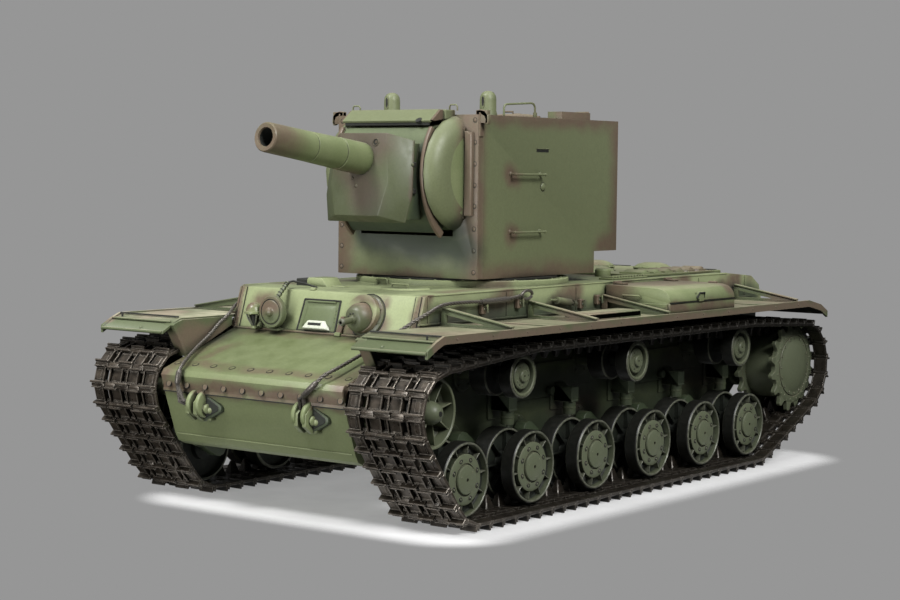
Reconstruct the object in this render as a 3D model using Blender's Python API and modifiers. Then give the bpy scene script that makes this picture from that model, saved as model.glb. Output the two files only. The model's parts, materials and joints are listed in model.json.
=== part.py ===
"""Radio-controlled model of a heavy tank with a tall box turret, built as separate pieces.

Frame: the nose points along -Y, +X is the tank's own left side, +Z is up and the tracks stand on z = 0.
Every length below is in millimetres and is scaled to metres when a shape is made.
"""

import math

import bmesh
import bpy
from mathutils import Matrix, Vector

MM = 0.001
GAP = 0.3

# Running gear: places along Y and heights of the axles on each side.
TRACK_INNER_X = 60.4
TRACK_OUTER_X = 103.75
TRACK_MIDDLE_X = (TRACK_INNER_X + TRACK_OUTER_X) / 2
TRACK_THICK = 5.3
WHEEL_Y = (-149.1, -95.8, -41.3, 13.1, 65.0, 114.7)
WHEEL_Z = 23.0
WHEEL_R = 17.4
ROLLER_Y = (-105.0, -3.7, 104.8)
ROLLER_Z = 66.9
ROLLER_R = 10.6
IDLER_Y = -174.1
IDLER_Z = 55.65
IDLER_R = 16.6
WHEEL_STEPS = 12
SPROCKET_Y = 168.4
SPROCKET_Z = 52.1
SPROCKET_ROOT_R = 22.3
SPROCKET_TIP_R = 26.5
SPROCKET_TEETH = 16
SPROCKET_RING_X = (-11.1, 10.6)
STOP_OFFSET = 18.4
ARM_LENGTH = 17.0
ARM_PIVOT_Z = 34.0

# Hull.
LOWER_HALF = 57.0
UPPER_HALF = 59.0
WALL = 2.4
DECK_Z = 104.2
FENDER_INNER = 59.4
FENDER_OUTER = 102.6
FENDER_Z = 89.6

# Turret and gun.
TURRET_Y = -28.0
RING_R = 46.0
TURRET_HALF = 44.9
TURRET_FRONT = -76.1
TURRET_REAR = 29.9
BUSTLE_REAR = 52.0
TURRET_BASE = 109.0
BUSTLE_Z = 120.5
ROOF_Z = 190.6
TRUNNION_Y = -60.0
TRUNNION_Z = 161.2
MANTLET_R = 40.5
MANTLET_HALF = 29.4
GUN_TILT = math.radians(7.6)
MUZZLE = 122.8

SIDES = (("left", 1), ("right", -1))


def collection(name):
    made = bpy.data.collections.new(name)
    bpy.context.scene.collection.children.link(made)
    return made


def start():
    for obj in list(bpy.data.objects):
        bpy.data.objects.remove(obj, do_unlink=True)
    return collection("rc_tank"), collection("cutters")


PARTS, CUTTERS = start()


def material(name, colour, roughness, metallic=0.0):
    made = bpy.data.materials.new(name)
    made.use_nodes = True
    shader = made.node_tree.nodes["Principled BSDF"]
    shader.inputs["Base Color"].default_value = (*colour, 1.0)
    shader.inputs["Roughness"].default_value = roughness
    shader.inputs["Metallic"].default_value = metallic
    made.diffuse_color = (*colour, 1.0)
    return made


OLIVE = (0.150, 0.200, 0.085)
BROWN = (0.130, 0.095, 0.055)
STEEL = (0.070, 0.058, 0.045)
BLACK = (0.012, 0.013, 0.012)


def place(name, mesh, where=(0, 0, 0), turn=(0, 0, 0)):
    obj = bpy.data.objects.new(name, mesh)
    obj.location = Vector(where) * MM
    obj.rotation_euler = turn
    PARTS.objects.link(obj)
    return obj


def baked(obj):
    """Replaces a curve or modified object by a plain mesh object with the same name and place."""
    bpy.context.view_layer.update()
    seen = obj.evaluated_get(bpy.context.evaluated_depsgraph_get())
    mesh = bpy.data.meshes.new_from_object(seen)
    work = bmesh.new()
    work.from_mesh(mesh)
    bmesh.ops.remove_doubles(work, verts=work.verts, dist=1e-6)
    bmesh.ops.recalc_face_normals(work, faces=work.faces)
    work.to_mesh(mesh)
    work.free()
    name = obj.name
    where = obj.matrix_world.copy()
    bpy.data.objects.remove(obj, do_unlink=True)
    made = bpy.data.objects.new(name, mesh)
    made.matrix_world = where
    PARTS.objects.link(made)
    return made


def block(name, x, y, z, bevel=0.0):
    """A box between the given pairs of bounds."""
    work = bmesh.new()
    bmesh.ops.create_cube(work, size=1.0)
    size = Vector((x[1] - x[0], y[1] - y[0], z[1] - z[0])) * MM
    bmesh.ops.scale(work, vec=size, verts=work.verts)
    mesh = bpy.data.meshes.new(name)
    work.to_mesh(mesh)
    work.free()
    centre = ((x[0] + x[1]) / 2, (y[0] + y[1]) / 2, (z[0] + z[1]) / 2)
    obj = place(name, mesh, centre)
    if bevel:
        edge = obj.modifiers.new("Bevel", "BEVEL")
        edge.width = bevel * MM
        edge.segments = 2
    return obj


def sheet(name, outlines, half, where=(0, 0, 0), turn=(0, 0, 0)):
    """A flat plate from closed outlines in its own XY plane; a second outline inside the first is a hole."""
    flat = bpy.data.curves.new(name, "CURVE")
    flat.dimensions = "2D"
    flat.fill_mode = "BOTH"
    flat.extrude = half * MM
    for outline in outlines:
        spline = flat.splines.new("POLY")
        spline.points.add(len(outline) - 1)
        for point, (a, b) in zip(spline.points, outline):
            point.co = (a * MM, b * MM, 0.0, 1.0)
        spline.use_cyclic_u = True
    return baked(place(name, flat, where, turn))


ACROSS = (math.radians(90), 0, math.radians(90))


def profile(name, outlines, x):
    """A side outline in (y, z), carried across from x[0] to x[1]."""
    return sheet(name, outlines, (x[1] - x[0]) / 2, ((x[0] + x[1]) / 2, 0, 0), ACROSS)


def turned(name, outline, steps, where=(0, 0, 0), turn=(0, 0, 0), ring=False):
    """A turned body: (radius, height) points down the outer side, spun about the local Z axis."""
    mesh = bpy.data.meshes.new(name)
    points = [(r * MM, 0, h * MM) for r, h in outline]
    edges = [(i, i + 1) for i in range(len(points) - 1)]
    if ring:
        edges.append((len(points) - 1, 0))
    mesh.from_pydata(points, edges, [])
    obj = place(name, mesh, where, turn)
    spin = obj.modifiers.new("Screw", "SCREW")
    spin.steps = steps
    spin.render_steps = steps
    spin.use_merge_vertices = True
    spin.merge_threshold = 1e-5
    return baked(obj)


def disc(name, radius, bottom, top, steps, where=(0, 0, 0), turn=(0, 0, 0)):
    return turned(name, [(0, top), (radius, top), (radius, bottom), (0, bottom)], steps, where, turn)


def wire(name, points, radius, fine=2):
    """A round wire or rod through the given points."""
    line = bpy.data.curves.new(name, "CURVE")
    line.dimensions = "3D"
    line.bevel_depth = radius * MM
    line.bevel_resolution = fine
    line.use_fill_caps = True
    spline = line.splines.new("POLY")
    spline.points.add(len(points) - 1)
    for point, place_at in zip(spline.points, points):
        point.co = (*(Vector(place_at) * MM), 1.0)
    return baked(place(name, line))


def operand(target, other, how):
    step = target.modifiers.new(how.title(), "BOOLEAN")
    step.operation = how
    step.solver = "EXACT"
    step.object = other
    PARTS.objects.unlink(other)
    CUTTERS.objects.link(other)
    other.hide_render = True
    other.display_type = "WIRE"


def add(target, *others):
    for other in others:
        operand(target, other, "UNION")


def cut(target, *others):
    for other in others:
        operand(target, other, "DIFFERENCE")


def pivot(obj, point):
    """Moves the part's origin onto its joint, without moving the part."""
    bpy.context.view_layer.update()
    joint = Matrix.Translation(Vector(point) * MM)
    obj.data.transform(joint.inverted() @ obj.matrix_world)
    obj.matrix_world = joint


def finish(obj, colour, roughness=0.6, metallic=0.0, smooth=False):
    """Gives a finished part its material, and smooth shading where it is round."""
    paint = material(obj.name, colour, roughness, metallic)
    obj.data.materials.clear()
    obj.data.materials.append(paint)
    if smooth:
        obj.data.shade_smooth()
        obj.data.set_sharp_from_angle(angle=math.radians(35))
    return obj


def arc(centre, radius, first, last, count):
    """Points on a circle arc, with angles in degrees from the first axis towards the second."""
    made = []
    for i in range(count + 1):
        angle = math.radians(first + (last - first) * i / count)
        made.append((centre[0] + radius * math.cos(angle), centre[1] + radius * math.sin(angle)))
    return made


def outward(side):
    """Turn that points a turned body's local Z axis out of the given side."""
    return (0, math.radians(90) * side, 0)


FORWARD = (math.radians(90), 0, 0)


# ---------------------------------------------------------------- tracks


def loop(circles, step=15):
    """Outline of a belt stretched around circles given as (y, z, radius): the convex hull of their rims."""
    rim = []
    for y, z, radius in circles:
        rim += arc((y, z), radius, 0, 360 - step, 360 // step - 1)
    rim.sort()
    hull = []
    for points in (rim, rim[::-1]):
        chain = []
        for point in points:
            while len(chain) > 1 and turn_of(chain[-2], chain[-1], point) <= 1e-6:
                chain.pop()
            chain.append(point)
        hull += chain[:-1]
    return hull


def turn_of(a, b, c):
    return (b[0] - a[0]) * (c[1] - a[1]) - (b[1] - a[1]) * (c[0] - a[0])


def belt(offset):
    """The track's path, offset outward from the surface that the wheels run on."""
    circles = [
        (IDLER_Y, IDLER_Z, IDLER_R + GAP + offset),
        (SPROCKET_Y, SPROCKET_Z, SPROCKET_ROOT_R + GAP + offset),
        (WHEEL_Y[0], WHEEL_Z, WHEEL_R + GAP + offset),
        (WHEEL_Y[-1], WHEEL_Z, WHEEL_R + GAP + offset),
    ]
    circles += [(y, ROLLER_Z, ROLLER_R + GAP + offset) for y in ROLLER_Y]
    return loop(circles)


def track(name, side):
    """Track as one band, with two slots that clear the sprocket's teeth."""
    middle = TRACK_MIDDLE_X * side
    half = (TRACK_OUTER_X - TRACK_INNER_X) / 2
    band = sheet(name, [belt(TRACK_THICK), belt(0.0)], half, (middle, 0, 0), ACROSS)
    for offset in SPROCKET_RING_X:
        x = middle + offset * side
        centre = (x, SPROCKET_Y, SPROCKET_Z)
        cut(band, disc("tooth_slot", SPROCKET_TIP_R + 0.5, -2.2, 2.2, 28, centre, outward(side)))
    finish(band, STEEL, 0.55, 0.7)


# ---------------------------------------------------------------- wheels


def road_wheel(name, side, y):
    """Double-rimmed steel wheel with a centre groove for the guide horns and a blind bore at the back."""
    outline = [
        (0, 15.0), (6.8, 15.0), (7.3, 12.6), (12.0, 12.4), (12.3, 9.4), (15.8, 9.4), (16.0, 12.4),
        (WHEEL_R, 12.4), (WHEEL_R, 4.2), (11.0, 4.2), (11.0, -3.8), (WHEEL_R, -3.8),
        (WHEEL_R, -12.2), (3.4, -12.2), (3.4, -4.4), (0, -4.4),
    ]
    wheel = turned(name, outline, WHEEL_STEPS, (TRACK_MIDDLE_X * side, y, WHEEL_Z), outward(side))
    finish(wheel, OLIVE, 0.55, smooth=True)


def return_roller(name, side, y):
    outline = [
        (0, 12.6), (3.8, 12.2), (4.0, 9.6), (8.8, 9.6), (9.0, 13.0), (ROLLER_R, 13.0), (ROLLER_R, 3.6),
        (5.2, 3.6), (5.2, -3.6), (ROLLER_R, -3.6), (ROLLER_R, -11.0), (2.6, -11.0), (2.6, 2.0), (0, 2.0),
    ]
    roller = turned(name, outline, 12, (TRACK_MIDDLE_X * side, y, ROLLER_Z), outward(side))
    finish(roller, OLIVE, 0.6, smooth=True)


def idler(name, side):
    """Front idler: two rims joined by six spokes to a long hub, running on a pin fixed to the hull."""
    hub = [
        (0, 17.0), (2.4, 16.6), (4.6, 13.2), (5.4, 11.6), (5.4, -12.0), (3.4, -12.0), (3.4, 9.0), (0, 9.0),
    ]
    where = (TRACK_MIDDLE_X * side, IDLER_Y, IDLER_Z)
    wheel = turned(name, hub, 12, where, outward(side))
    rims = []
    for top, bottom in ((12.0, 4.6), (-4.2, -12.0)):
        ring = [(IDLER_R, top), (IDLER_R, bottom), (13.6, bottom), (13.6, top)]
        rims.append(turned("idler_rim", ring, 18, where, outward(side), ring=True))
    for spoke in range(6):
        turn = math.radians(60 * spoke)
        bar = block("idler_spoke", (-1.3, 1.3), (5.0, 14.4), (5.4, 8.2))
        other = block("idler_spoke", (-1.3, 1.3), (5.0, 14.4), (-8.6, -5.8))
        for piece in (bar, other):
            mesh_turn = Matrix.Rotation(turn, 4, "Z") @ piece.matrix_basis
            frame = Matrix.Translation(Vector(where) * MM) @ Matrix.Rotation(outward(side)[1], 4, "Y")
            piece.matrix_basis = frame @ mesh_turn
            rims.append(piece)
    add(wheel, *rims)
    finish(wheel, OLIVE, 0.6, smooth=True)


def toothed(root, tip, teeth):
    """Outline of a toothed ring: trapezoid teeth, four points to a tooth."""
    made = []
    pitch = 360 / teeth
    for i in range(teeth):
        for at, radius in ((0.20, root), (0.36, tip), (0.64, tip), (0.80, root)):
            angle = math.radians((i + at - 0.5) * pitch)
            made.append((radius * math.cos(angle), radius * math.sin(angle)))
    return made


def drive_sprocket(name, side):
    """Rear drive wheel: drum with a domed cover, two toothed rings, and the shaft that enters the gearbox."""
    where = (TRACK_MIDDLE_X * side, SPROCKET_Y, SPROCKET_Z)
    drum = [
        (0, 15.2), (9.0, 14.2), (17.6, 11.4), (18.2, -11.4), (4.0, -13.0), (4.0, -33.0), (0, -33.0),
    ]
    wheel = turned(name, drum, 16, where, outward(side))
    for offset in SPROCKET_RING_X:
        at = (where[0] + offset * side, where[1], where[2])
        teeth = toothed(SPROCKET_ROOT_R, SPROCKET_TIP_R, SPROCKET_TEETH)
        add(wheel, sheet("tooth_ring", [teeth], 1.5, at, outward(side)))
    finish(wheel, OLIVE, 0.55, smooth=True)


def swing_arm(name, side, y):
    """Trailing arm: it pivots on the hull side and carries the wheel's stub axle."""
    front = y - ARM_LENGTH
    pin = disc(name, 3.4, 57.3, 61.0, 10, (0, front, ARM_PIVOT_Z), outward(side))
    axle = disc("arm_axle", 3.0, 64.0, 77.0, 10, (0, y, WHEEL_Z), outward(side))
    lean = math.degrees(math.atan2(WHEEL_Z - ARM_PIVOT_Z, ARM_LENGTH))
    outline = arc((front, ARM_PIVOT_Z), 4.8, lean + 90, lean + 270, 5)
    outline += arc((y, WHEEL_Z), 4.2, lean - 90, lean + 90, 5)
    add(pin, profile("arm_web", [outline], sorted((59.4 * side, 65.4 * side))), axle)
    finish(pin, OLIVE, 0.65)


# ---------------------------------------------------------------- hull


def fixtures():
    """Everything cast on the lower hull: axle pins, roller pins, bump stops and tow hooks."""
    made = []
    for _, side in SIDES:
        out = outward(side)
        made.append(disc("idler_pin", 3.0, 55.5, 90.0, 10, (0, IDLER_Y, IDLER_Z), out))
        stepped = [(0, 83.5), (2.2, 83.5), (2.2, 68.0), (4.6, 68.0), (4.6, 55.5), (0, 55.5)]
        for y in ROLLER_Y:
            made.append(turned("roller_pin", stepped, 8, (0, y, ROLLER_Z), out))
        for y in WHEEL_Y:
            x = sorted((55.5 * side, 69.0 * side))
            behind = y + STOP_OFFSET
            made.append(block("bump_stop", x, (behind - 3.2, behind + 3.2), (45.6, 53.0)))
            made.append(disc("bump_buffer", 3.3, 39.0, 45.8, 10, (65.6 * side, behind, 0)))
        hook_y = -186.5
        hook = [(hook_y, 44.0), (hook_y, 56.0), (hook_y - 4.0, 56.0), (hook_y - 8.4, 52.0)]
        hook += [(hook_y - 8.4, 46.5), (hook_y - 4.0, 43.0)]
        for x in (30.8, 35.8):
            made.append(profile("hook_plate", [hook], sorted((x * side, (x + 2.2) * side))))
    return made


def lower_hull():
    """Bottom tub: nose, glacis, floor and sides, open on top."""
    shell = [
        (-141.4, 83.4), (-187.0, 67.6), (-190.8, 66.2), (-192.4, 63.6), (-190.1, 55.7), (-182.8, 34.5),
        (-180.6, 30.6), (-176.0, 28.5), (152.0, 28.5), (186.0, 54.0), (190.0, 70.0), (190.0, 83.4),
    ]
    inside = [
        (-139.0, 90.0), (-139.0, 81.6), (-139.4, 81.3), (-186.2, 65.0), (-187.9, 56.2), (-180.7, 35.4),
        (-175.6, 30.9), (151.2, 30.9), (183.8, 55.4), (187.6, 70.4), (187.6, 90.0),
    ]
    hull = profile("lower_hull", [shell], (-LOWER_HALF, LOWER_HALF))
    cut(hull, profile("hull_inside", [inside], (-LOWER_HALF + WALL, LOWER_HALF - WALL)))
    for piece in fixtures():
        add(hull, piece)
    bore = disc("axle_bore", 4.6, -70, 70, 12, (0, SPROCKET_Y, SPROCKET_Z), outward(1))
    cut(hull, bore)
    finish(hull, OLIVE, 0.6)


def upper_hull():
    """Superstructure and deck, with the turret collar, the turret opening and the battery opening."""
    shell = [
        (-141.3, 83.8), (-135.4, 103.4), (-133.6, DECK_Z), (60.0, 105.2), (150.0, 105.2), (180.0, 102.6),
        (189.6, 97.0), (193.0, 88.0), (193.0, 83.8),
    ]
    inside = [
        (-138.7, 80.0), (-138.7, 84.4), (-133.4, 101.8), (60.0, 102.8), (149.8, 102.8), (179.0, 100.4),
        (187.6, 95.4), (190.6, 87.5), (190.6, 80.0),
    ]
    hull = profile("upper_hull", [shell], (-UPPER_HALF, UPPER_HALF))
    add(hull, disc("turret_collar", 56.0, 103.4, 107.6, 32, (0, TURRET_Y, 0)))
    add(hull, disc("bow_gun_plate", 9.4, 0.0, 4.6, 16, (26.0, -138.0, 93.4), (math.radians(73), 0, 0)))
    cut(hull, profile("upper_inside", [inside], (-UPPER_HALF + WALL, UPPER_HALF - WALL)))
    cut(hull, disc("turret_opening", RING_R + GAP, 90, 115, 32, (0, TURRET_Y, 0)))
    cut(hull, disc("battery_opening", 12.0, 90, 115, 20, (0, 95, 0)))
    ball = bmesh.new()
    bmesh.ops.create_uvsphere(ball, u_segments=12, v_segments=8, radius=7.0 * MM)
    mesh = bpy.data.meshes.new("ball_socket")
    ball.to_mesh(mesh)
    ball.free()
    cut(hull, place("ball_socket", mesh, (26.0, -143.0, 93.4)))
    finish(hull, OLIVE, 0.6)


def fender(name, side):
    """Track guard: plate with sloped ends, outer flange, four triangular braces and an inner front gusset."""
    top = [
        (-189.1, 83.8), (-182.5, 87.4), (-177.0, FENDER_Z), (170.0, FENDER_Z), (185.0, 86.6), (193.4, 82.4),
    ]
    under = [(y, z - 1.3) for y, z in top[::-1]]
    x = sorted((FENDER_INNER * side, FENDER_OUTER * side))
    guard = profile(name, [top + under], x)
    low = [(y, z - 2.9) for y, z in top[::-1]]
    edge = [(y, z + 0.8) for y, z in top]
    x = sorted((101.2 * side, (FENDER_OUTER + 0.1) * side))
    add(guard, profile("flange", [edge + low], x))
    for y in (-124.0, -53.0, 15.0, 157.0):
        outline = [(60.4, 88.9), (60.4, 98.0), (101.6, 91.0), (101.6, 88.9)]
        hole = [(63.4, 91.2), (63.4, 95.0), (86.0, 91.2)]
        places = [[(a * side, b) for a, b in points] for points in (outline, hole)]
        add(guard, sheet("brace", places, 0.6, (0, y, 0), FORWARD))
    gusset = [(-183.0, 87.0), (-173.6, 71.4), (-169.0, 73.0), (-142.4, 84.6), (-142.4, 88.9), (-177.2, 88.9)]
    x = sorted(((FENDER_INNER - 1.4) * side, (FENDER_INNER + 0.2) * side))
    add(guard, profile("gusset", [gusset], x))
    if side > 0:
        add(guard, block("tool_box_flat", (78.0, 93.0), (-47.0, 1.0), (89.0, 92.4)))
    finish(guard, BROWN, 0.6)


def stowage_box():
    """Tool box on the left fender, with a rounded outer shoulder and a lid seam."""
    shoulder = arc((92.6, 95.6), 7.2, 80, 0, 5)[1:]
    outline = [(60.2, 90.0), (60.2, 103.6), (92.0, 103.0), *shoulder, (99.8, 90.0)]
    box = sheet("stowage_box_left", [outline], 34.0, (0, 52.4, 0), FORWARD)
    seam = block("lid_seam", (99.3, 101.0), (16.0, 90.0), (95.2, 95.7))
    cut(box, seam)
    add(box, block("box_latch", (99.0, 100.8), (46.0, 52.0), (96.4, 100.4)))
    finish(box, OLIVE, 0.6)


def engine_deck():
    """Cover plate behind the turret, with raised louvres along both sides and two round covers."""
    deck = block("engine_deck", (-52.0, 52.0), (70.0, 148.0), (105.5, 106.5))
    cut(deck, disc("deck_opening", 15.0, 100, 112, 20, (0, 95, 0)))
    for row in range(6):
        y = 73.0 + 12.4 * row
        for side in (1, -1):
            add(deck, block("louvre", sorted((34.0 * side, 49.0 * side)), (y, y + 8.0), (106.2, 107.6)))
    for side in (1, -1):
        add(deck, disc("gear_cover", 11.0, 106.2, 107.8, 16, (20.0 * side, 131.0, 0)))
    finish(deck, OLIVE, 0.65)


def battery_hatch():
    """Domed round hatch over the battery opening, hinged at its rear edge."""
    dome = [(0, 109.4), (9.0, 108.8), (13.4, 107.2), (14.4, 105.6), (0, 105.6)]
    hatch = turned("battery_hatch", dome, 20, (0, 95, 0))
    add(hatch, block("hatch_hinge", (-5.0, 5.0), (108.0, 112.0), (107.0, 108.6)))
    pivot(hatch, (0, 111.4, 107.4))
    finish(hatch, OLIVE, 0.6)


def driver_visor():
    """Bevelled driver's hatch plug with a raised visor block, hinged along its top edge."""
    lean = math.atan2(5.9, 19.6)
    plug = block("driver_visor", (-11.5, 11.5), (-2.4, 0.0), (-15.0, 0.0))
    cage = block("visor_block", (-6.6, 6.6), (-4.4, -1.0), (-13.6, -7.4))
    slot = block("visor_slot", (-3.8, 3.8), (-6.0, -3.4), (-11.2, -9.8))
    place_at = Matrix.Translation(Vector((-3.5, -137.3, 98.8)) * MM) @ Matrix.Rotation(lean * -1, 4, "X")
    for piece in (plug, cage, slot):
        piece.matrix_basis = place_at @ piece.matrix_basis
    add(plug, cage)
    cut(plug, slot)
    pivot(plug, (-3.5, -137.9, 98.8))
    finish(plug, OLIVE, 0.6)


def headlight():
    lamp = [(0, 4.6), (2.2, 4.2), (2.4, 2.6), (6.6, 2.0), (7.3, 1.0), (7.3, -1.0), (5.0, -3.2), (0, -3.8)]
    body = turned("headlight", lamp, 20, (-26.4, -146.6, 93.0), FORWARD)
    add(body, block("lamp_foot", (-27.8, -25.0), (-145.0, -142.2), (83.8, 90.0)))
    finish(body, OLIVE, 0.5, smooth=True)


def horn():
    dome = [(0, 4.4), (2.6, 3.6), (4.0, 1.6), (4.4, 0.0), (4.4, -1.2), (2.4, -1.2), (1.2, -6.4), (0, -6.4)]
    body = turned("horn", dome, 16, (-39.2, -146.4, 92.2))
    add(body, block("horn_foot", (-40.6, -37.8), (-148.0, -142.6), (83.8, 87.0)))
    finish(body, OLIVE, 0.5, smooth=True)


def bow_gun():
    """Ball-mounted machine gun in the front plate: ball, thick sleeve and thin muzzle."""
    outline = [
        (0, 14.4), (0.9, 14.4), (1.6, 13.6), (1.6, 7.2), (2.3, 6.4), (2.3, 5.8), (3.4, 5.4), (5.4, 3.6),
        (6.5, 0.0), (5.4, -3.6), (3.2, -5.6), (0, -6.5),
    ]
    gun = turned("bow_gun", outline, 12, (26.0, -143.0, 93.4), FORWARD)
    finish(gun, OLIVE, 0.55, smooth=True)


# ---------------------------------------------------------------- turret


def turret_shell():
    """Tall box turret with a stepped rear, an open bottom, a front opening and domed cheeks by the gun."""
    shell = [
        (TURRET_FRONT, TURRET_BASE), (TURRET_REAR, TURRET_BASE), (TURRET_REAR, BUSTLE_Z),
        (BUSTLE_REAR, BUSTLE_Z), (BUSTLE_REAR, ROOF_Z), (TURRET_FRONT, ROOF_Z),
    ]
    inside = [
        (TURRET_FRONT + WALL, 100.0), (TURRET_REAR - WALL, 100.0), (TURRET_REAR - WALL, BUSTLE_Z + WALL),
        (BUSTLE_REAR - WALL, BUSTLE_Z + WALL), (BUSTLE_REAR - WALL, ROOF_Z - WALL),
        (TURRET_FRONT + WALL, ROOF_Z - WALL),
    ]
    turret = profile("turret_shell", [shell], (-TURRET_HALF, TURRET_HALF))
    cheek = [(0, 7.4), (19.0, 7.4), (23.6, 6.6), (27.0, 4.4), (28.8, 1.6), (29.0, 0.0), (0, 0)]
    for _, side in SIDES:
        add(turret, turned("cheek", cheek, 24, (30.0 * side, -71.8, 161.6), outward(side)))
        add(turret, block("side_strip", sorted((38.2 * side, 42.4 * side)), (-78.0, -75.0), (140.5, 182.0)))
        dome = [(0, 203.4), (2.8, 202.6), (4.1, 200.2), (4.3, 190.0), (0, 190.0)]
        add(turret, turned("periscope", dome, 12, (31.3 * side, -49.7, 0)))
        add(turret, block("lifting_hook", sorted((43.0 * side, 49.8 * side)), (-75.6, -73.0), (186.4, 192.6)))
    roof = [(-75.0, 190.0), (-75.0, 192.9), (-86.4, 192.9), (-93.4, 187.4), (-92.6, 186.4), (-85.8, 191.7)]
    roof += [(-76.4, 191.5), (-76.4, 190.0)]
    add(turret, profile("rain_guard", [roof], (-28.1, 28.1)))
    add(turret, block("rear_periscope", (34.0, 43.0), (0.0, 27.0), (190.0, 194.4)))
    cut(turret, profile("turret_inside", [inside], (-TURRET_HALF + WALL, TURRET_HALF - WALL)))
    cut(turret, block("gun_opening", (-29.8, 29.8), (-79.0, -70.0), (130.0, 187.6)))
    cut(turret, disc("hatch_opening", 11.4, 180, 200, 20, (12.0, 2.0, 0)))
    pivot(turret, (0, TURRET_Y, TURRET_BASE))
    finish(turret, OLIVE, 0.6)


def turret_ring():
    """Bearing ring under the turret: a flange that rests on the collar and a sleeve that turns inside it."""
    sleeve_r = RING_R - 0.2
    section = [(50.5, 108.7), (50.5, 107.9), (sleeve_r, 107.9), (sleeve_r, 99.0), (42.0, 99.0), (42.0, 108.7)]
    ring = turned("turret_ring", section, 32, (0, TURRET_Y, 0), ring=True)
    finish(ring, BLACK, 0.5, smooth=True)


def turret_hatch():
    lid = [(0, 193.4), (8.0, 193.2), (12.6, 192.4), (13.2, 190.9), (0, 190.9)]
    hatch = turned("turret_hatch", lid, 20, (12.0, 2.0, 0))
    add(hatch, block("lid_hinge", (8.0, 16.0), (14.0, 17.6), (191.2, 193.0)))
    pivot(hatch, (12.0, 17.0, 191.8))
    finish(hatch, OLIVE, 0.6)


def hexagon(half_top, half_middle, half_bottom, heights, front):
    """Six corners of the recoil housing at one station: heights are top, middle and bottom."""
    top, middle, bottom = heights
    corners = [(half_top, top), (half_middle, middle), (half_bottom, bottom)]
    ring = corners + [(-x, z) for x, z in corners[::-1]]
    return [Vector((x, front(z), z)) * MM for x, z in ring]


def recoil_housing():
    """Loft between the small front hexagon and the wide rear one."""
    slope = math.tan(GUN_TILT)
    front = hexagon(15.0, 18.2, 13.8, (181.0, 156.6, 140.2), lambda z: -110.6 - (181.0 - z) * slope)
    rear = hexagon(25.6, 27.2, 24.6, (177.4, 150.0, 137.0), lambda z: -103.0 - (177.4 - z) * slope)
    work = bmesh.new()
    rings = [[work.verts.new(corner) for corner in ring] for ring in (front, rear)]
    for i in range(6):
        j = (i + 1) % 6
        work.faces.new((rings[0][i], rings[0][j], rings[1][j], rings[1][i]))
    work.faces.new(rings[0])
    work.faces.new(rings[1][::-1])
    bmesh.ops.recalc_face_normals(work, faces=work.faces)
    mesh = bpy.data.meshes.new("recoil_housing")
    work.to_mesh(mesh)
    work.free()
    return place("recoil_housing", mesh)


BARREL_TURN = (math.radians(90) + GUN_TILT * -1, 0, 0)


def mantlet():
    """Curved gun shield with end flanges, the recoil housing in front and the trunnion shaft behind."""
    centre = (TRUNNION_Y, TRUNNION_Z)
    curve = arc(centre, MANTLET_R - 1.6, 180 - 36, 180 + 46, 8)
    body = curve + [(-80.0, 136.0), (-78.0, 186.0)]
    shield = profile("mantlet", [body], (-MANTLET_HALF, MANTLET_HALF))
    rim = arc(centre, MANTLET_R, 180 - 35, 180 + 45, 8) + arc(centre, MANTLET_R - 4.0, 180 + 45, 180 - 35, 8)
    for side in (1, -1):
        add(shield, profile("flange", [rim], sorted((27.2 * side, MANTLET_HALF * side))))
    add(shield, block("housing_neck", (-21.0, 21.0), (-107.0, -95.0), (141.0, 174.0)))
    add(shield, recoil_housing())
    add(shield, block("gun_cradle", (-12.0, 12.0), (-80.0, -57.0), (152.0, 170.0)))
    add(shield, disc("trunnion", 4.0, -42.0, 42.0, 10, (0, TRUNNION_Y, TRUNNION_Z), outward(1)))
    socket = disc("barrel_socket", 8.4, 46.0, 80.0, 20, (0, TRUNNION_Y, TRUNNION_Z), BARREL_TURN)
    cut(shield, socket)
    pivot(shield, (0, TRUNNION_Y, TRUNNION_Z))
    finish(shield, OLIVE, 0.6)


def gun_barrel():
    outline = [
        (0, 70.0), (4.3, 70.0), (4.3, MUZZLE - 0.8), (4.8, MUZZLE), (6.6, MUZZLE), (7.1, MUZZLE - 0.8),
        (7.2, 100.0), (7.7, 72.0), (7.95, 71.4), (8.0, 46.3), (0, 46.3),
    ]
    barrel = turned("gun_barrel", outline, 20, (0, TRUNNION_Y, TRUNNION_Z), BARREL_TURN)
    finish(barrel, OLIVE, 0.5, smooth=True)


# ---------------------------------------------------------------- inside


def battery_pack():
    pack = block("battery_pack", (-23.0, 23.0), (20.0, 145.0), (31.2, 57.0), bevel=3.0)
    finish(pack, (0.03, 0.06, 0.22), 0.35)


def main_board():
    """Receiver and speed-control board, standing on four posts, with its tall parts."""
    board = block("main_board", (-32.0, 32.0), (-95.0, -30.0), (39.0, 40.6))
    for x in (-28.0, 28.0):
        for y in (-91.0, -34.0):
            add(board, disc("board_post", 2.4, 31.2, 39.6, 8, (x, y, 0)))
    for x, y, wide, tall in ((-16.0, -72.0, 10.0, 6.0), (12.0, -70.0, 16.0, 3.0), (0.0, -44.0, 20.0, 9.0)):
        bounds = (x - wide / 2, x + wide / 2), (y - 6.0, y + 6.0), (40.0, 40.6 + tall)
        add(board, block("board_part", *bounds))
    finish(board, (0.02, 0.13, 0.05), 0.45)


def speaker():
    outline = [(0, 37.4), (6.0, 37.0), (15.0, 39.6), (16.4, 39.6), (16.4, 31.2), (0, 31.2)]
    cone = turned("speaker", outline, 20, (0, -135.0, 0))
    finish(cone, BLACK, 0.7, smooth=True)


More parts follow.
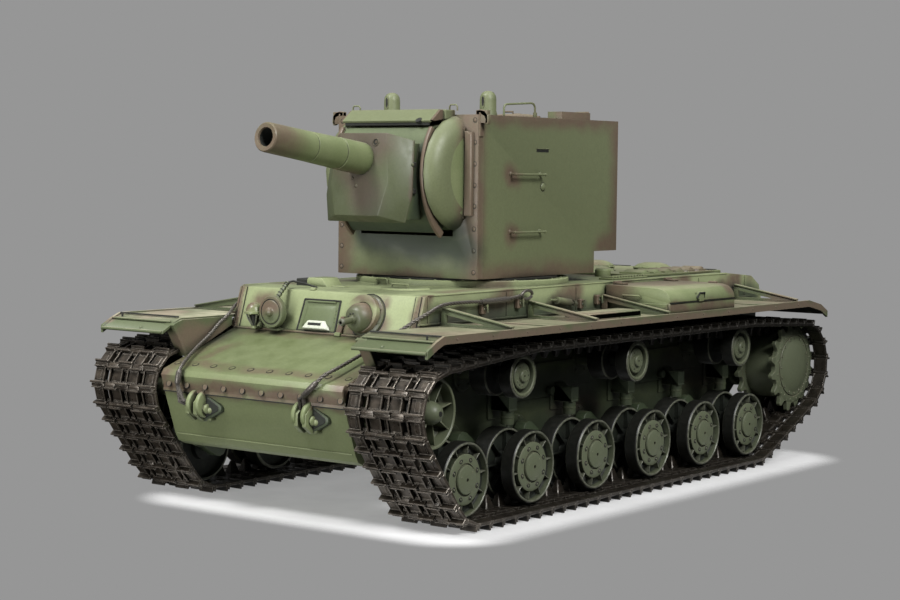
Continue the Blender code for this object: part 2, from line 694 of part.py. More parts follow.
def gearbox(name, side):
    """Drive gearbox with its motor: the sprocket's shaft runs in its output bore."""
    x = sorted((26.0 * side, 54.2 * side))
    outline = [(138.0, 38.0), (157.0, 38.0), (182.0, 56.5), (182.0, 74.0), (138.0, 74.0)]
    case = profile(name, [outline], x)
    motor = disc("motor", 9.0, 26.0, 52.0, 12, (0, 130.0, 55.0), outward(side))
    add(case, motor)
    cut(case, disc("output_bore", 4.4, 46.0, 70.0, 12, (0, SPROCKET_Y, SPROCKET_Z), outward(side)))
    finish(case, (0.18, 0.18, 0.19), 0.4, 0.6)


def turret_drive():
    """Turret-turning motor and its pinion, standing beside the bearing ring under the deck."""
    body = block("turret_drive", (-12.0, 12.0), (-2.0, 16.0), (60.0, 90.0))
    pinion = [(0, 103.0), (5.0, 103.0), (5.0, 99.4), (2.0, 99.4), (2.0, 89.0), (0, 89.0)]
    add(body, turned("pinion", pinion, 10, (0, 8.6, 0)))
    add(body, disc("drive_post", 5.0, 31.2, 62.0, 10, (0, 8.6, 0)))
    finish(body, (0.10, 0.10, 0.11), 0.5, 0.3)


# ---------------------------------------------------------------- tow cables


ROPE_RADIUS = 0.95
ALONG_HULL = [(62.6, -112.0, 100.2), (62.6, -92.0, 99.8), (62.6, -74.0, 100.2), (62.6, -62.0, 101.4)]
ROPE_ROUTES = {
    "left": [
        (33.6, -193.0, 59.0), (37.5, -194.7, 61.6), (42.0, -194.4, 65.6), (45.2, -190.6, 70.2),
        (46.5, -182.0, 73.2), (47.5, -170.0, 77.4), (49.5, -157.0, 82.6), (53.0, -148.0, 87.6),
        (57.8, -142.2, 92.4), (61.8, -137.4, 96.0), (62.6, -127.0, 99.5), *ALONG_HULL,
    ],
    "right": [
        (41.4, -193.8, 51.8), (42.6, -194.3, 55.4), (43.6, -194.6, 59.4), (43.3, -194.6, 62.8),
        (43.6, -193.2, 66.6), (45.8, -188.2, 69.6), (50.7, -178.6, 72.8), (54.2, -169.0, 76.6),
        (55.9, -161.0, 80.4), (56.6, -153.0, 85.9), (56.4, -146.4, 90.2), (59.3, -140.4, 92.7),
        (61.6, -134.2, 95.1), (62.6, -126.0, 99.4), *ALONG_HULL,
    ],
}


def tow_cable(name, side):
    """Steel tow rope from the nose hook, up over the glacis and along the superstructure side."""
    points = [Vector((x * side, y, z)) for x, y, z in ROPE_ROUTES[name]]
    rope = wire(f"tow_cable_{name}", smooth_line(points, 2), ROPE_RADIUS)
    finish(rope, STEEL, 0.5, 0.8)


def smooth_line(points, steps):
    """Catmull-Rom curve through hand-chosen points."""
    padded = [2 * points[0] - points[1], *points, 2 * points[-1] - points[-2]]
    made = []
    for a, b, c, d in zip(padded, padded[1:], padded[2:], padded[3:]):
        for i in range(steps):
            t = i / steps
            bend = 2 * b + (c - a) * t + (2 * a - 5 * b + 4 * c - d) * t**2
            made.append((bend + (3 * b - a - 3 * c + d) * t**3) / 2)
    return [*made, points[-1]]


# ---------------------------------------------------------------- build


def main():
    for name, side in SIDES:
        track(f"track_{name}", side)
        drive_sprocket(f"drive_sprocket_{name}", side)
        idler(f"idler_{name}", side)
        for number, y in enumerate(WHEEL_Y, 1):
            road_wheel(f"road_wheel_{name}_{number}", side, y)
            swing_arm(f"swing_arm_{name}_{number}", side, y)
        for number, y in enumerate(ROLLER_Y, 1):
            return_roller(f"return_roller_{name}_{number}", side, y)
        fender(f"{name}_fender", side)
        gearbox(f"gearbox_{name}", side)
        tow_cable(name, side)
    lower_hull()
    upper_hull()
    stowage_box()
    engine_deck()
    battery_hatch()
    driver_visor()
    headlight()
    horn()
    bow_gun()
    turret_shell()
    turret_ring()
    turret_hatch()
    mantlet()
    gun_barrel()
    battery_pack()
    main_board()
    speaker()
    turret_drive()


main()
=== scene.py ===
"""The look of the RC tank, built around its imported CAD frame.

Shapes are made in millimetres, in the row frame, and turned into metres when a piece is finished.
"""
import json
import math

import bmesh
import bpy
from mathutils import Matrix, Vector

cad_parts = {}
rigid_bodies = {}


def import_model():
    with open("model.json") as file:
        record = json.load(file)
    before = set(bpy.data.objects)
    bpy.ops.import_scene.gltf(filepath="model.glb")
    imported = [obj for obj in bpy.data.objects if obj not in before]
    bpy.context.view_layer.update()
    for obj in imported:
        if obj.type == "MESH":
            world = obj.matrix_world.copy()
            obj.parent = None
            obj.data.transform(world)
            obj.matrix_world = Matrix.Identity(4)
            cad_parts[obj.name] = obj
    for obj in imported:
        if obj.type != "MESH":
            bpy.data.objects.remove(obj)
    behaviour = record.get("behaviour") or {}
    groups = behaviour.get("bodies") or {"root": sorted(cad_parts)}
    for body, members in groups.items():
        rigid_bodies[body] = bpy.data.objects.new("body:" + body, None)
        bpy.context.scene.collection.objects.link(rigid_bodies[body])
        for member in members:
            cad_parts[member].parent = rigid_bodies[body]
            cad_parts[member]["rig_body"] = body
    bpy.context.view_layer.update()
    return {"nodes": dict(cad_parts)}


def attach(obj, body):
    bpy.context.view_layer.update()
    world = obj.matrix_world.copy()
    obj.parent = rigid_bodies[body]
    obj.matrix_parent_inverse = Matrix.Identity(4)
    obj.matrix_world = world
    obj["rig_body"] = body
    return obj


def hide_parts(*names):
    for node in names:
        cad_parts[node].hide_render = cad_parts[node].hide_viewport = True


MM = 0.001
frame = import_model()

SIDES = (("left", 1), ("right", -1))

# Running gear, as in the CAD frame.
TRACK_X = 82.075
CLEARANCE = 0.3
WHEEL_Y = (-149.1, -95.8, -41.3, 13.1, 65, 114.7)
WHEEL_Z = 23
WHEEL_R = 17.4
ROLLER_Y = (-105, -3.7, 104.8)
ROLLER_Z = 66.9
ROLLER_R = 10.6
IDLER = (-174.1, 55.65)
IDLER_R = 16.6
SPROCKET = (168.4, 52.1)
SPROCKET_R = 22.3
SPROCKET_TIP = 26.5
SPROCKET_TEETH = 16

# Turret and gun.
TURRET_HALF = 44.9
TURRET_FRONT = -76.1
ROOF_Z = 190.6
TRUNNION = Vector((0, -60, 161.2))
GUN_TILT = math.radians(7.6)
MANTLET_R = 40.5
HATCH = (12, 2)
RING_Y = -28

# Hull.
DECK_Z = 104.1
HORN = (-39.2, -146.4)
HOOK_X = 33.3
ROPE_X = 62.6

# ---------------------------------------------------------------- shapes


def bevelled(bm, width, steps=1, angle=30):
    """Rounds every edge sharper than angle."""
    if width > 0:
        limit = math.radians(angle)
        sharp = [e for e in bm.edges if len(e.link_faces) == 2 and e.calc_face_angle(0) > limit]
        bmesh.ops.bevel(
            bm, geom=sharp, offset=width, segments=steps, profile=0.5, affect="EDGES", clamp_overlap=True
        )
    return bm


def box(x, y, z, bevel=0.25, steps=1):
    bm = bmesh.new()
    bmesh.ops.create_cube(bm, size=1)
    low = Vector((min(x), min(y), min(z)))
    size = Vector((max(x), max(y), max(z))) - low
    for v in bm.verts:
        v.co = Vector(low[i] + (v.co[i] + 0.5) * size[i] for i in range(3))
    return bevelled(bm, bevel, steps)


def prism(outline, low, high, axis="X", bevel=0.25, steps=1):
    """Flat outline pushed from low to high along an axis."""
    order = {"X": (2, 0, 1), "Y": (0, 2, 1), "Z": (0, 1, 2)}[axis]
    bm = bmesh.new()
    bm.faces.new([bm.verts.new((a, b, low)) for a, b in outline])
    grown = bmesh.ops.extrude_face_region(bm, geom=bm.faces[:])
    moved = [g for g in grown["geom"] if isinstance(g, bmesh.types.BMVert)]
    for v in moved:
        v.co.z = high
    for v in bm.verts:
        v.co = Vector(v.co[i] for i in order)
    bmesh.ops.recalc_face_normals(bm, faces=bm.faces)
    return bevelled(bm, bevel, steps)


def lathe(outline, steps=32, ring=False):
    """Outline of (radius, height) points turned round Z. A ring's outline closes on itself."""
    bm = bmesh.new()
    rows = []
    for radius, height in outline:
        if radius < 1e-6:
            rows.append([bm.verts.new((0, 0, height))])
            continue
        turns = [2 * math.pi * i / steps for i in range(steps)]
        rows.append([bm.verts.new((radius * math.cos(t), radius * math.sin(t), height)) for t in turns])
    pairs = list(zip(rows, rows[1:]))
    if ring:
        pairs.append((rows[-1], rows[0]))
    for a, b in pairs:
        for i in range(steps):
            j = (i + 1) % steps
            corners = [a[i % len(a)], a[j % len(a)], b[j % len(b)], b[i % len(b)]]
            corners = [v for k, v in enumerate(corners) if v not in corners[:k]]
            if len(corners) > 2:
                bm.faces.new(corners)
    bmesh.ops.recalc_face_normals(bm, faces=bm.faces)
    return bm


def disc(radius, top, bottom, steps):
    return lathe([(0, top), (radius, top), (radius, bottom), (0, bottom)], steps)


def boss(radius, top, chamfer, bottom, steps):
    """Round plate with a chamfered top edge."""
    edge = [(0, top), (radius - chamfer, top), (radius, top - chamfer), (radius, bottom), (0, bottom)]
    return lathe(edge, steps)


def washer(inner, outer, top, bottom, steps):
    return lathe([(inner, top), (outer, top), (outer, bottom), (inner, bottom)], steps, ring=True)


def tube(points, radius, sides=8):
    """Round bar along points, with closed ends. radius is one number, or one for each point."""
    bm = bmesh.new()
    points = [Vector(p) for p in points]
    radii = [radius] * len(points) if isinstance(radius, (int, float)) else radius
    rings = []
    across = None
    for i, point in enumerate(points):
        ahead = (points[min(i + 1, len(points) - 1)] - points[max(i - 1, 0)]).normalized()
        if across is None:
            across = ahead.orthogonal().normalized()
        across = (across - ahead * across.dot(ahead)).normalized()
        other = ahead.cross(across)
        turns = [2 * math.pi * k / sides for k in range(sides)]
        ring = [point + (across * math.cos(t) + other * math.sin(t)) * radii[i] for t in turns]
        rings.append([bm.verts.new(p) for p in ring])
    for a, b in zip(rings, rings[1:]):
        for k in range(sides):
            n = (k + 1) % sides
            bm.faces.new((a[k], a[n], b[n], b[k]))
    bm.faces.new(rings[0][::-1])
    bm.faces.new(rings[-1])
    bmesh.ops.recalc_face_normals(bm, faces=bm.faces)
    return bm


def hull_of(points, bevel=0.3, steps=1):
    """Smallest convex solid around some points."""
    bm = bmesh.new()
    for p in points:
        bm.verts.new(p)
    made = bmesh.ops.convex_hull(bm, input=bm.verts[:])
    spare = [g for g in made["geom_interior"] + made["geom_unused"] if isinstance(g, bmesh.types.BMVert)]
    bmesh.ops.delete(bm, geom=list(set(spare)), context="VERTS")
    bmesh.ops.dissolve_limit(bm, angle_limit=0.02, verts=bm.verts, edges=bm.edges)
    bmesh.ops.recalc_face_normals(bm, faces=bm.faces)
    return bevelled(bm, bevel, steps)


def between(foot, low, top, high, bevel):
    """Convex block between two flat outlines of (x, y) points at two heights."""
    return hull_of([(x, y, low) for x, y in foot] + [(x, y, high) for x, y in top], bevel)


def rectangle(x, y):
    return [(x[0], y[0]), (x[1], y[0]), (x[0], y[1]), (x[1], y[1])]


def staple(x, y, z):
    """Square handle across X: up from z[0] to z[1], over, and down again."""
    return tube([(x[0], y, z[0]), (x[0], y, z[1]), (x[1], y, z[1]), (x[1], y, z[0])], 0.5)


def arc(centre, radius, first, last, count):
    """Points on part of a circle, in degrees, both ends included."""
    turns = [math.radians(first + (last - first) * i / count) for i in range(count + 1)]
    return [(centre[0] + radius * math.cos(t), centre[1] + radius * math.sin(t)) for t in turns]


def fillet(a, corner, b, radius, steps):
    """Points that round the corner between a and b with an arc of the radius."""
    a, corner, b = Vector(a), Vector(corner), Vector(b)
    one, two = (a - corner).normalized(), (b - corner).normalized()
    half = one.angle(two) / 2
    centre = corner + (one + two).normalized() * (radius / math.sin(half))
    first, last = corner + one * (radius / math.tan(half)), corner + two * (radius / math.tan(half))
    points = []
    for i in range(steps + 1):
        reach = (first - centre).slerp(last - centre, i / steps)
        points.append(tuple(centre + reach))
    return points


def spread(centre, radius, count, start=0):
    """Points spaced evenly round a centre, the first one at the angle start, in degrees."""
    for i in range(count):
        turn = math.radians(start + 360 * i / count)
        yield centre[0] + radius * math.cos(turn), centre[1] + radius * math.sin(turn)


def aim(origin, direction):
    """Matrix that puts local Z along direction, from origin."""
    turn = Vector(direction).to_track_quat("Z", "Y").to_matrix().to_4x4()
    return Matrix.Translation(Vector(origin)) @ turn


def outward(side):
    """Matrix that puts local Z along the side's outward X, with local Y up."""
    return Matrix(((0, 0, side, 0), (side, 0, 0, 0), (0, 1, 0, 0), (0, 0, 0, 1)))


def at(x, y, z):
    return Matrix.Translation(Vector((x, y, z)))


def facing_front(x, y, z, turn=90):
    """Matrix at a point, local Z to the tank's front, tipped up by any turn past 90."""
    return at(x, y, z) @ Matrix.Rotation(math.radians(turn), 4, "X")


MIRROR = Matrix.Scale(-1, 4, (1, 0, 0))


def both(side):
    """Matrix that mirrors a shape made for the left side when side is -1."""
    return Matrix.Identity(4) if side > 0 else MIRROR


def bolt(radius, height):
    """Six-sided bolt head on the plane z = 0, its shank a little below it."""
    edge = [(0, height), (radius * 0.72, height), (radius, height * 0.6), (radius, -0.2), (0, -0.2)]
    return lathe(edge, 6)


def dome(radius, height, steps=12):
    """Rivet head on the plane z = 0."""
    top = [(radius * math.cos(t), height * math.sin(t)) for t in (1.57, 1.1, 0.7, 0.3, 0)]
    top[0] = (0, height)
    return lathe(top + [(radius, -0.2), (0, -0.2)], steps)


class Form:
    """Closed solids gathered into one piece, in millimetres."""

    def __init__(self):
        self.bm = bmesh.new()

    def add(self, made, matrix=None, slot=0, pick=None):
        """Takes in a shape. pick(centre) gives a face's material slot from its centre before the move."""
        for face in made.faces:
            face.material_index = pick(face.calc_center_median()) if pick else slot
        if matrix is not None:
            bmesh.ops.transform(made, matrix=matrix, verts=made.verts)
            if matrix.determinant() < 0:
                bmesh.ops.reverse_faces(made, faces=made.faces)
        mesh = bpy.data.meshes.new("part")
        made.to_mesh(mesh)
        made.free()
        self.bm.from_mesh(mesh)
        bpy.data.meshes.remove(mesh)
        return self

    def mesh(self, name, smooth=34):
        bmesh.ops.scale(self.bm, vec=(MM, MM, MM), verts=self.bm.verts)
        mesh = bpy.data.meshes.new(name)
        self.bm.to_mesh(mesh)
        self.bm.free()
        mesh.shade_smooth()
        mesh.set_sharp_from_angle(angle=math.radians(smooth))
        return mesh


def piece(name, form, body, materials, replaces=(), where=None, smooth=34):
    """Finishes a form as a piece that rides on a body. where places a mesh made round its own centre."""
    mesh = form if isinstance(form, bpy.types.Mesh) else form.mesh(name, smooth)
    if not mesh.materials:
        for m in materials:
            mesh.materials.append(m)
    obj = bpy.data.objects.new(name, mesh)
    bpy.context.scene.collection.objects.link(obj)
    if where is not None:
        where = where.copy()
        where.translation = where.translation * MM
        obj.matrix_world = where
    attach(obj, body)
    for node in replaces:
        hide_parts(node)
    return obj


def refined(node, bevel=0.2, steps=1, angle=28):
    """The CAD node's own solid, welded, with its sharp edges rounded, as a form."""
    form = Form()
    bm = form.bm
    bm.from_mesh(frame["nodes"][node].data)
    bmesh.ops.scale(bm, vec=(1 / MM, 1 / MM, 1 / MM), verts=bm.verts)
    bmesh.ops.remove_doubles(bm, verts=bm.verts, dist=0.003)
    bmesh.ops.dissolve_limit(bm, angle_limit=math.radians(1), verts=bm.verts, edges=bm.edges)
    bevelled(bm, bevel, steps, angle)
    for face in bm.faces:
        face.material_index = 0
    return form


# ---------------------------------------------------------------- materials

OLIVE = (0.163, 0.196, 0.090, 1)
OLIVE_PALE = (0.225, 0.256, 0.132, 1)
BROWN = (0.135, 0.098, 0.068, 1)
KHAKI = (0.330, 0.300, 0.205, 1)
LIT_SAND = (0.520, 0.480, 0.350, 1)
CREVICE_SHADE = (0.010, 0.012, 0.007, 1)
SHADOW = (0.024, 0.034, 0.025, 1)


class Nodes:
    """Short calls for building a material's node tree."""

    def __init__(self, name):
        self.material = bpy.data.materials.new(name)
        self.material.use_nodes = True
        self.tree = self.material.node_tree
        self.shader = self.tree.nodes["Principled BSDF"]
        coords = self.add("TexCoord").outputs["Object"]
        self.place = self.vector("SCALE", coords, scale=1 / MM)

    def add(self, kind, inputs=None, **settings):
        node = self.tree.nodes.new("ShaderNode" + kind)
        for key, value in settings.items():
            setattr(node, key, value)
        for key, value in (inputs or {}).items():
            if isinstance(value, bpy.types.NodeSocket):
                self.tree.links.new(value, node.inputs[key])
            else:
                node.inputs[key].default_value = value
        return node

    def math(self, operation, a, b=0, clamp=False):
        return self.add("Math", {0: a, 1: b}, operation=operation, use_clamp=clamp).outputs[0]

    def vector(self, operation, a, b=(0, 0, 0), scale=1):
        inputs = {0: a, "Scale": scale} if operation == "SCALE" else {0: a, 1: b}
        node = self.add("VectorMath", inputs, operation=operation)
        return node.outputs["Value" if operation in ("DOT_PRODUCT", "LENGTH", "DISTANCE") else "Vector"]

    def noise(self, scale, detail=3):
        """Noise whose features are about 1 / scale millimetres across."""
        inputs = {"Vector": self.place, "Scale": scale, "Detail": detail, "Roughness": 0.55}
        return self.add("TexNoise", inputs).outputs["Fac"]

    def remap(self, value, low, high, to_low=0, to_high=1, kind="SMOOTHSTEP"):
        inputs = {"Value": value, "From Min": low, "From Max": high, "To Min": to_low, "To Max": to_high}
        return self.add("MapRange", inputs, interpolation_type=kind).outputs["Result"]

    def mix(self, factor, a, b, how="MIX"):
        node = self.add("Mix", {0: factor, 6: a, 7: b}, data_type="RGBA", blend_type=how)
        return node.outputs[2]

    def crevice(self, reach):
        """1 in corners and under overhangs within reach millimetres, 0 in the open."""
        node = self.add("AmbientOcclusion", {"Distance": reach * MM}, samples=4)
        return self.math("SUBTRACT", 1, node.outputs["AO"], clamp=True)

    def edges(self, reach):
        """1 on outside edges within reach millimetres, 0 on open faces."""
        soft = self.add("Bevel", {"Radius": reach * MM}, samples=4).outputs["Normal"]
        true = self.add("NewGeometry").outputs["Normal"]
        alike = self.vector("DOT_PRODUCT", soft, true)
        return self.remap(alike, 0.98, 0.80, 0, 1)

    def bump(self, height, distance, strength):
        inputs = {"Height": height, "Distance": distance * MM, "Strength": strength}
        return self.add("Bump", inputs).outputs["Normal"]

    def finish(self, colour, roughness, normal=None, metallic=0, specular=0.5):
        links = {"Base Color": colour, "Roughness": roughness, "Normal": normal}
        for key, value in links.items():
            if isinstance(value, bpy.types.NodeSocket):
                self.tree.links.new(value, self.shader.inputs[key])
            elif value is not None:
                self.shader.inputs[key].default_value = value
        self.shader.inputs["Metallic"].default_value = metallic
        self.shader.inputs["Specular IOR Level"].default_value = specular
        return self.material


def sprayed(n, strokes, place):
    """How much the airbrush strokes cover. A stroke from a to b is full within 0.35 r and gone at 1.7 r."""
    cover = None
    for a, b, radius in strokes:
        a, b = Vector(a), Vector(b)
        run = b - a
        from_a = n.vector("SUBTRACT", place, a[:])
        along = n.vector("DOT_PRODUCT", from_a, (run / max(run.length_squared, 1e-6))[:])
        share = n.math("ADD", along, 0, clamp=True)
        nearest = n.add("VectorMath", {0: run[:], "Scale": share}, operation="SCALE").outputs["Vector"]
        far = n.vector("DISTANCE", from_a, nearest)
        one = n.remap(far, radius * 0.35, radius * 1.7, 1, 0)
        cover = one if cover is None else n.math("MAXIMUM", cover, one)
    return cover


def paint(name, strokes=(), base=OLIVE, over=BROWN, rough=0.46, worn=0.35, top=0.35, shade=(), top_dust_and_light=KHAKI):
    """Satin paint: mottled base, soft airbrush strokes, upward faces tinted partly by dust and partly as
    painted light and shade, painted shade strokes, painted shade in corners and rubbed edges.
    """
    n = Nodes(name)
    drift = n.add("TexNoise", {"Vector": n.place, "Scale": 0.07, "Detail": 2}).outputs["Color"]
    shift = n.vector("SCALE", n.vector("SUBTRACT", drift, (0.5, 0.5, 0.5)), scale=9)
    loose = n.vector("ADD", n.place, shift)
    broad = n.noise(0.045, 3)
    fine = n.noise(0.9, 4)
    colour = n.mix(n.remap(broad, 0.35, 0.68, 0, 0.55), base, OLIVE_PALE if base == OLIVE else base)
    if strokes:
        cover = sprayed(n, strokes, loose)
        thin = n.math("MULTIPLY", cover, n.remap(n.noise(0.35, 2), 0.25, 0.6, 0.82, 1))
        colour = n.mix(thin, colour, over)
    up = n.add("SeparateXYZ", {0: n.add("NewGeometry").outputs["Normal"]}).outputs["Z"]
    # Upward faces take a tint that is partly dust and partly painted light and shade from above.
    dust_and_light = n.math("MULTIPLY", n.remap(up, 0.84, 0.97), n.remap(n.noise(0.11, 4), 0.3, 0.75, top * 0.4, top))
    colour = n.mix(dust_and_light, colour, top_dust_and_light)
    speck = n.remap(fine, 0.3, 0.7, 0.93, 1.07, kind="LINEAR")
    colour = n.mix(1, colour, n.add("CombineColor", {0: speck, 1: speck, 2: speck}).outputs[0], "MULTIPLY")
    if shade:
        colour = n.mix(n.math("MULTIPLY", sprayed(n, shade, loose), 0.86), colour, SHADOW)
    # Painted shade: corners and spots under overhangs darkened towards near black.
    colour = n.mix(n.remap(n.crevice(5.5), 0.12, 0.78, 0, 0.92), colour, CREVICE_SHADE)
    rub = n.math("MULTIPLY", n.edges(0.35), n.remap(n.noise(0.5, 3), 0.35, 0.6, 0.35, 1))
    colour = n.mix(n.math("MULTIPLY", rub, worn), colour, KHAKI)
    shine = n.remap(n.noise(0.2, 3), 0.3, 0.7, rough - 0.06, rough + 0.07)
    grain = n.bump(n.noise(4.5, 2), 0.02, 0.35)
    return n.finish(colour, shine, grain, specular=0.42)


def track_metal(name):
    """Cast links: brown-grey metal; pale edges, partly rub wear and partly painted highlight; painted shade
    near black in recesses and on the runs behind the front.
    """
    n = Nodes(name)
    spot = n.add("SeparateXYZ", {0: n.place})
    # Painted shade: near black away from the belt's front face and on the top run under the fender.
    front = n.remap(spot.outputs["Y"], -176, -120, 1, 0.40)
    under = n.remap(spot.outputs["Z"], 66, 76, 1, 0.30)
    lit = n.math("MULTIPLY", front, n.math("MAXIMUM", under, n.remap(spot.outputs["Y"], -182, -174, 1, 0)))
    patch = n.remap(n.noise(0.22, 4), 0.3, 0.7)
    colour = n.mix(patch, (0.032, 0.025, 0.018, 1), (0.085, 0.069, 0.052, 1))
    # Painted shade: recesses between cleats and knuckles go near black.
    colour = n.mix(n.remap(n.crevice(3.6), 0.08, 0.50, 0, 0.98), colour, (0.002, 0.002, 0.001, 1))
    # The pale edges are partly rub wear and partly a painted highlight where light glints off the links.
    rub = n.math("MULTIPLY", n.edges(0.42), n.remap(n.noise(0.8, 3), 0.3, 0.6, 0.35, 1))
    colour = n.mix(rub, colour, (0.50, 0.45, 0.38, 1))
    colour = n.mix(lit, (0.003, 0.003, 0.002, 1), colour)
    shine = n.remap(n.noise(0.6, 4), 0.3, 0.7, 0.26, 0.50)
    grain = n.bump(n.noise(3, 3), 0.05, 0.5)
    return n.finish(colour, shine, grain, metallic=0.45)


def plain(name, colour, other, rough, metallic=0, scale=0.6, dark=0.7):
    """Small parts: two close tones, painted shade in corners and a fine grain."""
    n = Nodes(name)
    tone = n.mix(n.remap(n.noise(scale, 4), 0.3, 0.7), colour, other)
    tone = n.mix(n.remap(n.crevice(2), 0.15, 0.85, 0, dark), tone, (0.006, 0.007, 0.005, 1))
    shine = n.remap(n.noise(scale * 2, 3), 0.3, 0.7, rough - 0.07, rough + 0.08)
    grain = n.bump(n.noise(scale * 6, 2), 0.02, 0.4)
    return n.finish(tone, shine, grain, metallic=metallic)


BLACK = plain("matt_black", (0.008, 0.009, 0.007, 1), (0.016, 0.017, 0.013, 1), 0.62)
TYRE = plain("wheel_tread", (0.006, 0.007, 0.005, 1), (0.014, 0.014, 0.011, 1), 0.46)
RIM = plain("rubbed_rim", (0.070, 0.076, 0.052, 1), (0.150, 0.155, 0.115, 1), 0.42, 0.1)
ROPE = plain("steel_rope", (0.060, 0.055, 0.048, 1), (0.170, 0.155, 0.135, 1), 0.36, 0.5, 1.5, 0.97)
PALE = plain("pale_visor", (0.50, 0.53, 0.43, 1), (0.62, 0.64, 0.54, 1), 0.42)
CIRCUIT = plain("circuit_green", (0.02, 0.10, 0.045, 1), (0.03, 0.13, 0.06, 1), 0.35)
GREY = plain("moulded_grey", (0.16, 0.16, 0.165, 1), (0.20, 0.20, 0.205, 1), 0.5)
WRAP = plain("battery_wrap", (0.02, 0.05, 0.16, 1), (0.03, 0.065, 0.19, 1), 0.3)
BRASS = plain("pinion_brass", (0.45, 0.32, 0.12, 1), (0.55, 0.40, 0.17, 1), 0.3, 1)
TRACK = track_metal("cast_link")
DARK = plain("shadowed_olive", (0.006, 0.008, 0.005, 1), (0.014, 0.018, 0.011, 1), 0.6)
GREEN = paint("olive_paint")
DIM = paint("shadowed_paint", base=(0.050, 0.068, 0.036, 1), top=0.1)
BROWNISH = paint("brown_paint", base=BROWN, over=OLIVE, top=0.2)
WHEEL = paint("wheel_paint", base=(0.108, 0.124, 0.074, 1), worn=0.7, top=0.1)


# ---------------------------------------------------------------- tracks

LINK_PITCH = 10
PIN_DEPTH = 2.3
ARC_STEP = 2


def belt(offset):
    """The track's outline, offset outward from the wheels that it runs on, as (y, z) points."""
    circles = [(*IDLER, IDLER_R), (*SPROCKET, SPROCKET_R), (WHEEL_Y[0], WHEEL_Z, WHEEL_R)]
    circles += [(WHEEL_Y[-1], WHEEL_Z, WHEEL_R)] + [(y, ROLLER_Z, ROLLER_R) for y in ROLLER_Y]
    rim = []
    for y, z, radius in circles:
        rim += arc((y, z), radius + CLEARANCE + offset, 0, 360 - ARC_STEP, 360 // ARC_STEP - 1)
    outline = []
    for points in (sorted(rim), sorted(rim)[::-1]):
        chain = []
        for p in points:
            while len(chain) > 1 and turn_of(chain[-2], chain[-1], p) <= 1e-6:
                chain.pop()
            chain.append(p)
        outline += chain[:-1]
    return outline


def turn_of(a, b, c):
    return (b[0] - a[0]) * (c[1] - a[1]) - (b[1] - a[1]) * (c[0] - a[0])


def spaced(outline, pitch):
    """Points along a closed outline, a whole number of equal steps of about pitch."""
    outline = [Vector(p) for p in outline]
    sides = list(zip(outline, outline[1:] + outline[:1]))
    total = sum((b - a).length for a, b in sides)
    count = round(total / pitch)
    found = []
    walked = 0
    for a, b in sides:
        length = (b - a).length
        while len(found) < count and walked + length > len(found) * total / count:
            found.append(a.lerp(b, (len(found) * total / count - walked) / length))
        walked += length
    return found


def track_link():
    """One cast link. X runs across the track, Y along it, and Z out of it from the wheels' side."""
    link = Form()
    reach = LINK_PITCH / 2
    for side in (1, -1):
        link.add(box((14.2 * side, 21.4 * side), (-3.9, 3.9), (0.9, 2.6), 0.3))
        link.add(box((2.3 * side, 9.2 * side), (-3, 3), (0.8, 2.3), 0.25))
        link.add(box((16.6 * side, 19.4 * side), (-2.4, 2.4), (2.4, 3), 0.2))
        for x, height in ((13.8, 3.9), (9.6, 3.9), (2, 3.4)):
            link.add(box(((x - 0.35) * side, (x + 0.35) * side), (-3.7, 3.7), (0.8, height), 0.12))
        for y, low, high in ((4, 12.4, 21.6), (-3.9, 3.6, 11.9)):
            rise = 5.2 if y > 0 else 4.7
            shape = [(y - 0.75, 2), (y + 0.75, 2), (y + 0.45, rise), (y - 0.45, rise)]
            link.add(prism(shape, low * side, high * side, "X", 0.2))
        shape = [(-3.7, 3.1), (-4.5, 3.1), (-4.3, 4.5), (-3.9, 4.5)]
        link.add(prism(shape, 14.6 * side, 21.2 * side, "X", 0.15))
        link.add(
            lathe([(0, 0.5), (0.8, 0.4), (1.1, 0), (0, 0)], 8),
            aim((21 * side, reach, PIN_DEPTH), (side, 0, 0)),
        )
    shape = [(3.25, 2), (4.75, 2), (4.45, 5.2), (3.55, 5.2)]
    link.add(prism(shape, -4.6, 4.6, "X", 0.2))
    for y in (-3.3, 3.3):
        link.add(box((-14.4, 14.4), (y - 0.8, y + 0.8), (0.9, 2.4), 0.25))
    knuckle = [(0, -1.7), (1.5, -1.7), (1.7, -1.5), (1.7, 1.5), (1.5, 1.7), (0, 1.7)]
    for x, half, y in ((-17, 4.3, 1), (0, 4.3, 1), (17, 4.3, 1), (-8.6, 3.5, -1), (8.6, 3.5, -1)):
        stretch = Matrix.Diagonal((1, 1, half / 1.7, 1))
        link.add(
            lathe(knuckle, 10),
            at(x, (reach - 0.1) * y, PIN_DEPTH) @ Matrix.Rotation(math.radians(90), 4, "Y") @ stretch,
        )
    base = [(-2.7, -3.2, 1), (2.7, -3.2, 1), (2.7, 3.2, 1), (-2.7, 3.2, 1)]
    tip = [(-0.7, -1.3, -5.6), (0.7, -1.3, -5.6), (0.7, 1.3, -5.6), (-0.7, 1.3, -5.6)]
    link.add(hull_of(base + tip, 0.4))
    return link.bm


def track(side):
    """The whole belt: a link between each two pins."""
    link = track_link()
    pattern = bpy.data.meshes.new("link_pattern")
    link.to_mesh(pattern)
    link.free()
    pins = spaced(belt(PIN_DEPTH), LINK_PITCH)
    form = Form()
    for a, b in zip(pins, pins[1:] + pins[:1]):
        along = (b - a).normalized()
        out = Vector((along.y, -along.x))
        start = (a + b) / 2 - out * PIN_DEPTH
        columns = [(side, 0, 0), (0, along.x, along.y), (0, out.x, out.y)]
        turn = Matrix(columns).transposed().to_4x4()
        mesh = pattern.copy()
        mesh.transform(Matrix.Translation((TRACK_X * side, start.x, start.y)) @ turn)
        if turn.determinant() < 0:
            mesh.flip_normals()
        form.bm.from_mesh(mesh)
        bpy.data.meshes.remove(mesh)
    return form


# ---------------------------------------------------------------- wheels


